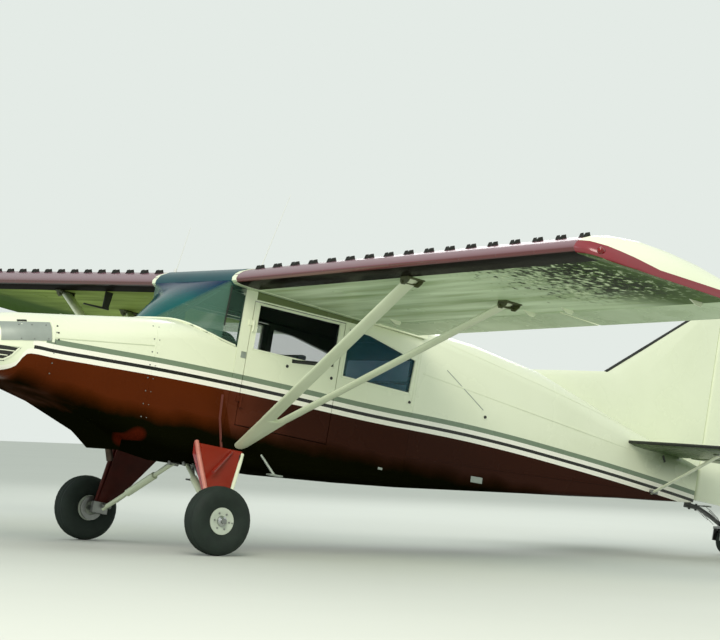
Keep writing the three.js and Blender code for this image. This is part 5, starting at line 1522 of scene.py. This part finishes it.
# Cushion and back with channels sewn in, piping round both, and a pedestal
def makeSeat(node, x0, x1, y0, y1, top):
    margin = seatForm["margin"]
    low, high = seatForm["cushion"]
    lines = [y0 + (y1 - y0) * share for share in ((0.33, 0.67) if y1 - y0 < 0.5 else (0.2, 0.4, 0.6, 0.8))]
    bm = bmesh.new()
    addBlock(bm, (x0 + margin, y0 + margin, low), (x1 - margin, y1 - margin, high), 0.02)
    cushion = swollen(bm)
    sewChannels(cushion, lines)
    trim = bmesh.new()
    edge = margin + 0.02
    corners = [(x0 + edge, y0 + edge, high), (x1 - edge, y0 + edge, high), (x1 - edge, y1 - edge, high),
               (x0 + edge, y1 - edge, high)]
    addPiping(trim, cushion, corners, (0, 0, -1), 0.001)
    bm = bmesh.new()
    foot = x1 - seatForm["backStart"] + seatForm["backFront"]
    head = x1 + seatForm["lean"] + seatForm["backFront"]
    thick = seatForm["backThickness"]
    outline = [(foot, y0 + margin, seatForm["backFoot"]), (foot + thick, y0 + margin, seatForm["backFoot"]),
               (head + thick, y0 + margin, top - margin), (head, y0 + margin, top - margin)]
    addPlate(bm, [Vector(spot) for spot in outline], (0, y1 - y0 - 2 * margin, 0), 0.018)
    back = swollen(bm)
    sewChannels(back, lines)
    rise = top - margin - seatForm["backFoot"]
    corners = []
    for y in (y0 + edge, y1 - edge):
        ends = [
            (foot + (head - foot) * share, y, seatForm["backFoot"] + rise * share) for share in (0.08, 0.92)]
        corners += ends if y < (y0 + y1) / 2 else ends[::-1]
    addPiping(trim, back, corners, (1, 0, 0), 0.001)
    pieces = [addPiece(node + "_cushion", cushion, "cloth", angle=60, nodes=[node]),
              addPiece(node + "_back", back, "cloth", angle=60)]
    addPiece(node + "_piping", trim, "seal", angle=60)
    # Pedestal with rails, under the cushion
    inset = seatForm["inset"]
    bm = bmesh.new()
    baseLow, baseHigh = seatForm["base"]
    addBlock(bm, (x0 + inset, y0 + inset, baseLow + 0.12), (x1 - inset, y1 - inset, baseHigh), 0.01)
    for y in (y0 + inset + 0.02, y1 - inset - 0.02):
        addBlock(bm, (x0 + inset, y - 0.012, baseLow + 0.03), (x1 - inset, y + 0.012, baseLow + 0.13), 0.003)
    addPiece(node + "_pedestal", bm, "darkSteel")


for node, measures in seats.items():
    makeSeat(node, *measures)
print("interior made")

# Landing gear

# Places on one side: x, y out from the middle, z up from the wheels' axis
gearTrim = {
    # Path, radius, steps round, finish on the left and on the right; the right's shaded red is painted shade
    "tubes": {
        "leg_front_tube": ([(-0.036, 0.545, 0.53), (-0.036, 0.6, 0.44), (0.008, 0.803, 0.058)], 0.016, 16,
                           ("highlightRed", "shadedRed")),
        "leg_aft_tube": ([(0.335, 0.56, 0.50), (0.30, 0.606, 0.435), (0.124, 0.806, 0.06)], 0.014, 16,
                         ("cream", "shadedRed")),
        "leg_stay": ([(0.022, 0.735, 0.33), (0.234, 0.578, 0.50)], 0.012, 14, ("red", "red")),
        # It runs above the shock strut
        "shock_tube": ([(0.21, 0.10, 0.432), (0.118, 0.70, 0.075)], 0.011, 14, ("silver", "silver"))},
    "shockBolts": ((0.182, 0.10, 0.39), (0.07, 0.765, 0.03)), "boltAlong": (0.035, 0.04), "boltRadius": 0.017,
    "disc": {"y": 0.847, "bore": 0.05, "radius": 0.088, "thickness": 0.007},
    "caliper": ((0.052, 0.118), (0.822, 0.868), (-0.03, 0.045)),
    "bleeder": ((0.085, 0.812, 0.03), (0.085, 0.826, 0.03)),
    "hose": [(0.085, 0.815, 0.045), (0.10, 0.80, 0.09), (0.135, 0.785, 0.12), (0.2, 0.7, 0.25),
             (0.28, 0.62, 0.40), (0.31, 0.575, 0.49)],
    "hubCap": [(0.0, 0.022), (0.02, 0.021), (0.034, 0.014), (0.038, 0.0)],
    # The wheel's middle, and its outer face at the hub
    "wheelY": 0.935, "hubFace": 0.935 + 0.168 * 0.36 * 0.9,
    "bolts": 6, "boltRing": 0.058, "valve": (0.078, 0.055, 0.072),
}


# Tubes and bolts of the leg, the brake, hub cap and wheel bolts
def makeGear(name):
    side = sides[name]
    wheelBody = "wheel_%s_body" % name
    for part, (path, radius, count, used) in gearTrim["tubes"].items():
        spots = [(x, side * y, z) for x, y, z in path]
        bm = bmesh.new()
        for start, end in zip(spots, spots[1:]):
            addRod(bm, start, end, radius, sides=count)
        addPiece(part + "_" + name, bm, used[side > 0], angle=60)
    bm = bmesh.new()
    front, back = gearTrim["boltAlong"]
    for x, y, z in gearTrim["shockBolts"]:
        addRod(bm, (x - front, side * y, z), (x + back, side * y, z), gearTrim["boltRadius"], sides=18)
    addPiece("shock_bolts_" + name, bm, "steel")
    # The disc turns with the wheel, caliper and hose stay on the knuckle
    disc = gearTrim["disc"]
    bore, rim, half = disc["bore"], disc["radius"], disc["thickness"] / 2
    bm = bmesh.new()
    addTurned(bm, [(bore, -half), (rim, -half), (rim, half), (bore, half), (bore, -half)],
              (0, side * disc["y"], 0), (0, 1, 0), 40)
    addPiece("brake_disc_" + name, bm, "steel", wheelBody)
    bm = bmesh.new()
    addSideBlock(bm, side, *gearTrim["caliper"], 0.008)
    addRod(bm, *((x, side * y, z) for x, y, z in gearTrim["bleeder"]), 0.014, sides=16)
    addPiece("brake_caliper_" + name, bm, "silver")
    bm = bmesh.new()
    addTube(bm, [(x, side * y, z) for x, y, z in gearTrim["hose"]], 0.006)
    addPiece("brake_hose_" + name, bm, "strip", angle=60)
    face, ring = gearTrim["hubFace"], gearTrim["boltRing"]
    bm = bmesh.new()
    addTurned(bm, gearTrim["hubCap"], (0, side * (face - 0.001), 0), (0, side, 0), 32)
    addPiece("hub_cap_" + name, bm, "alloy", wheelBody)
    bm = bmesh.new()
    for step in range(gearTrim["bolts"]):
        angle = step * 2 * math.pi / gearTrim["bolts"]
        x, z = ring * math.cos(angle), ring * math.sin(angle)
        addRod(bm, (x, side * (face - 0.004), z), (x, side * (face + 0.008), z), 0.007, sides=6)
    x, start, end = gearTrim["valve"]
    addRod(bm, *((x, side * (gearTrim["wheelY"] + out), 0.0) for out in (start, end)), 0.004, sides=10)
    addPiece("wheel_bolts_" + name, bm, "steel", wheelBody)


# Tyre turned from its own outline, with ribs and grooves round the tread
def makeTyre(node, centre, radius, width, rim, grooves, steps):
    half = width / 2
    profile = [(rim + 0.0005, -half * 0.66), (rim + 0.012, -half * 0.74), (radius * 0.62, -half * 0.96),
               (radius * 0.74, -half * 1.0), (radius * 0.85, -half * 0.93), (radius * 0.93, -half * 0.76)]
    crown = half * 0.66
    for index in range(grooves):
        middle = -crown + (index + 0.5) * 2 * crown / grooves
        lift = radius * (1 - 0.05 * (abs(middle) / crown) ** 2)
        gap = crown / grooves
        profile += [(lift, middle - gap * 0.75), (lift - 0.005, middle - gap * 0.45),
                    (lift - 0.005, middle + gap * 0.45), (lift, middle + gap * 0.75)]
    profile += [(r, -y) for r, y in reversed(profile[:6])]
    bm = bmesh.new()
    addTurned(bm, profile + profile[:1], centre, (0, 1, 0), steps)
    addPiece(node + "_tread", bm, "rubber", bodyOfNode[node], 40, toGround, [node])


tyres = {
    # centre, radius, width, rim, grooves, steps
    "main_tyre_left": ((0, -0.935, 0), 0.236, 0.166, 0.0925, 3, 36),
    "main_tyre_right": ((0, 0.935, 0), 0.236, 0.166, 0.0925, 3, 36),
}
for name in sides:
    makeGear(name)
for node, measures in tyres.items():
    makeTyre(node, *measures)
print("gear trimmed")

# Tail

tailTrim = {
    "finEdge": [(3.855, 1.775), (4.70, 2.402)], "finShift": (0.006, -0.004), "finStrip": 0.012,
    "planeEdge": [(4.065, 0.10), (4.11, 0.70), (4.185, 1.33)], "planeShift": 0.005, "planeUp": 1.253,
    "planeStrip": 0.0125, "cover": [(4.485, 0, 1.215), (4.515, 0, 1.165)],
    # Ends of the tail braces: x, y of the middle, z, edge
    "braceFittings": [((4.385, 4.455), 0.125, (0.895, 0.925), 0.004),
                      ((4.37, 4.43), 0.86, (1.218, 1.228), 0.003)],
    "braceHalf": 0.03,
    # The coil takes the middle half of the link
    "spring": ((5.02, 0.075, 0.90), (5.265, 0.06, 0.775)), "turns": 9, "steps": 90, "coil": (0.25, 0.5),
    "coilRadius": 0.009, "wire": 0.0022,
    "lens": [(0.0, 0.028), (0.01, 0.026), (0.018, 0.016), (0.021, 0.0), (0.021, -0.02)],
    "lensAt": (5.375, 0, 1.45),
    "clamp": ((4.90, -0.04, 0.862), (5.03, 0.04, 0.882)), "clampBolts": (4.93, 5.0), "boltUp": (0.85, 0.905),
    "arm": ((5.05, -0.10, 0.893), (5.08, 0.10, 0.903)),
}


# Edge strips, covers, brace fittings, steering springs with their arm, tail light, spring clamp
def makeTail():
    alongX, upZ = tailTrim["finShift"]
    bm = bmesh.new()
    addTube(bm, [(x + alongX, 0, z + upZ) for x, z in tailTrim["finEdge"]], tailTrim["finStrip"], 3, 2)
    addPiece("fin_edge_strip", bm, "strip", angle=60)
    for name, side in sides.items():
        bm = bmesh.new()
        edge = [(x + tailTrim["planeShift"], side * y, tailTrim["planeUp"]) for x, y in tailTrim["planeEdge"]]
        addTube(bm, edge, tailTrim["planeStrip"], 3, 2)
        addPiece("tailplane_edge_strip_" + name, bm, "strip", angle=60)
        bm = bmesh.new()
        addTape(bm, bodySkin, tailTrim["cover"], (0, -side, 0), 0.03, 0.002, 0.03)
        addPiece("tail_cover_" + name, bm, "strip")
        bm = bmesh.new()
        half = tailTrim["braceHalf"]
        for (x0, x1), y, (z0, z1), edge in tailTrim["braceFittings"]:
            addBlock(bm, (x0, side * y - half, z0), (x1, side * y + half, z1), edge)
        addPiece("tail_brace_fittings_" + name, bm, "steel")
        # Coil spring and link from rudder arm to tailwheel arm
        bm = bmesh.new()
        start, end = (Vector((x, side * y, z)) for x, y, z in tailTrim["spring"])
        along = (end - start).normalized()
        across = along.orthogonal().normalized()
        up = along.cross(across)
        turns, count, (first, part) = tailTrim["turns"], tailTrim["steps"], tailTrim["coil"]
        coil = []
        for step in range(count + 1):
            angle = 2 * math.pi * turns * step / count
            away = (across * math.cos(angle) + up * math.sin(angle)) * tailTrim["coilRadius"]
            coil.append(start.lerp(end, first + part * step / count) + away)
        addTube(bm, [start] + coil + [end], tailTrim["wire"], 1, 3)
        # Its place is baked into the mesh; it rides on no body
        spring = addPiece("steering_spring_" + name, bm, "steel", None, 60)
        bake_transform(spring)
    bm = bmesh.new()
    addTurned(bm, tailTrim["lens"], tailTrim["lensAt"], (1, 0, 0), 24)
    addPiece("tail_light", bm, "clearLens", "rudder_body")
    bm = bmesh.new()
    addBlock(bm, *tailTrim["clamp"], 0.004)
    low, high = tailTrim["boltUp"]
    for x in tailTrim["clampBolts"]:
        addRod(bm, (x, 0, low), (x, 0, high), 0.01, sides=6)
    addPiece("spring_clamp", bm, "darkSteel")
    bm = bmesh.new()
    addBlock(bm, *tailTrim["arm"], 0.003)
    addPiece("rudder_arm", bm, "steel", "rudder_body")


makeTail()
print("tail trimmed")

# Entry steps

# From the skin down to the tread; finish of each. The right step's dark finish is painted shade
entrySteps = {
    "left": ([(0.485, -0.50, 0.56), (0.53, -0.54, 0.50), (0.60, -0.60, 0.40)], "silver"),
    "right": ([(0.58, 0.50, 0.449), (0.60, 0.505, 0.38), (0.615, 0.51, 0.321)], "darkSteel"),
}
stepTread = ((-0.05, -0.035, -0.004), (0.05, 0.035, 0.008))


def makeSmallFittings():
    for name, (path, finish) in entrySteps.items():
        bm = bmesh.new()
        addTube(bm, path, 0.010, 3, 2)
        addBlock(bm, *(Vector(path[-1]) + Vector(corner) for corner in stepTread), 0.003)
        addPiece("entry_step_" + name, bm, finish, angle=60)


makeSmallFittings()

# Floor, lights, and the view's colours

studio = {
    "floor": 60, "world": ("#e4ebe6", 1.0),
    # name, place, aim, size, watts, colour
    "lights": (
        ("key", (-9.0, -11.0, 10.0), (0, -1, 1), 7.0, 1300, "#fff8ea"),
        ("fill", (-14.0, 4.0, 5.0), (-1, 0, 1), 6.0, 240, "#eaf2ff"),
        ("rim", (8.0, 9.0, 8.0), (2, 0, 1), 6.0, 420, "#ffffff"),
    ),
}


def makeStudio():
    bpy.context.scene.view_settings.view_transform = "Standard"
    world = bpy.data.worlds.new("studio")
    bpy.context.scene.world = world
    world.use_nodes = True
    colour, strength = studio["world"]
    back = world.node_tree.nodes["Background"]
    back.inputs[0].default_value = linear(colour)
    back.inputs[1].default_value = strength
    bm = bmesh.new()
    bmesh.ops.create_grid(bm, x_segments=1, y_segments=1, size=studio["floor"])
    mesh = bpy.data.meshes.new("floor")
    bm.to_mesh(mesh)
    bm.free()
    mesh.materials.append(finishOf("matt floor paint", "#c9cdc6", "#c2c6bf", 0.8, 3.0, 0.05, 0.02))
    floor = bpy.data.objects.new("floor", mesh)
    bpy.context.scene.collection.objects.link(floor)
    for name, place, aim, size, watts, tint in studio["lights"]:
        data = bpy.data.lights.new(name, "AREA")
        data.energy = watts
        data.size = size
        data.color = linear(tint)[:3]
        light = bpy.data.objects.new(name, data)
        light.location = place
        light.rotation_euler = (Vector(aim) - Vector(place)).to_track_quat("-Z", "Y").to_euler()
        bpy.context.scene.collection.objects.link(light)


makeStudio()
print("studio lit")
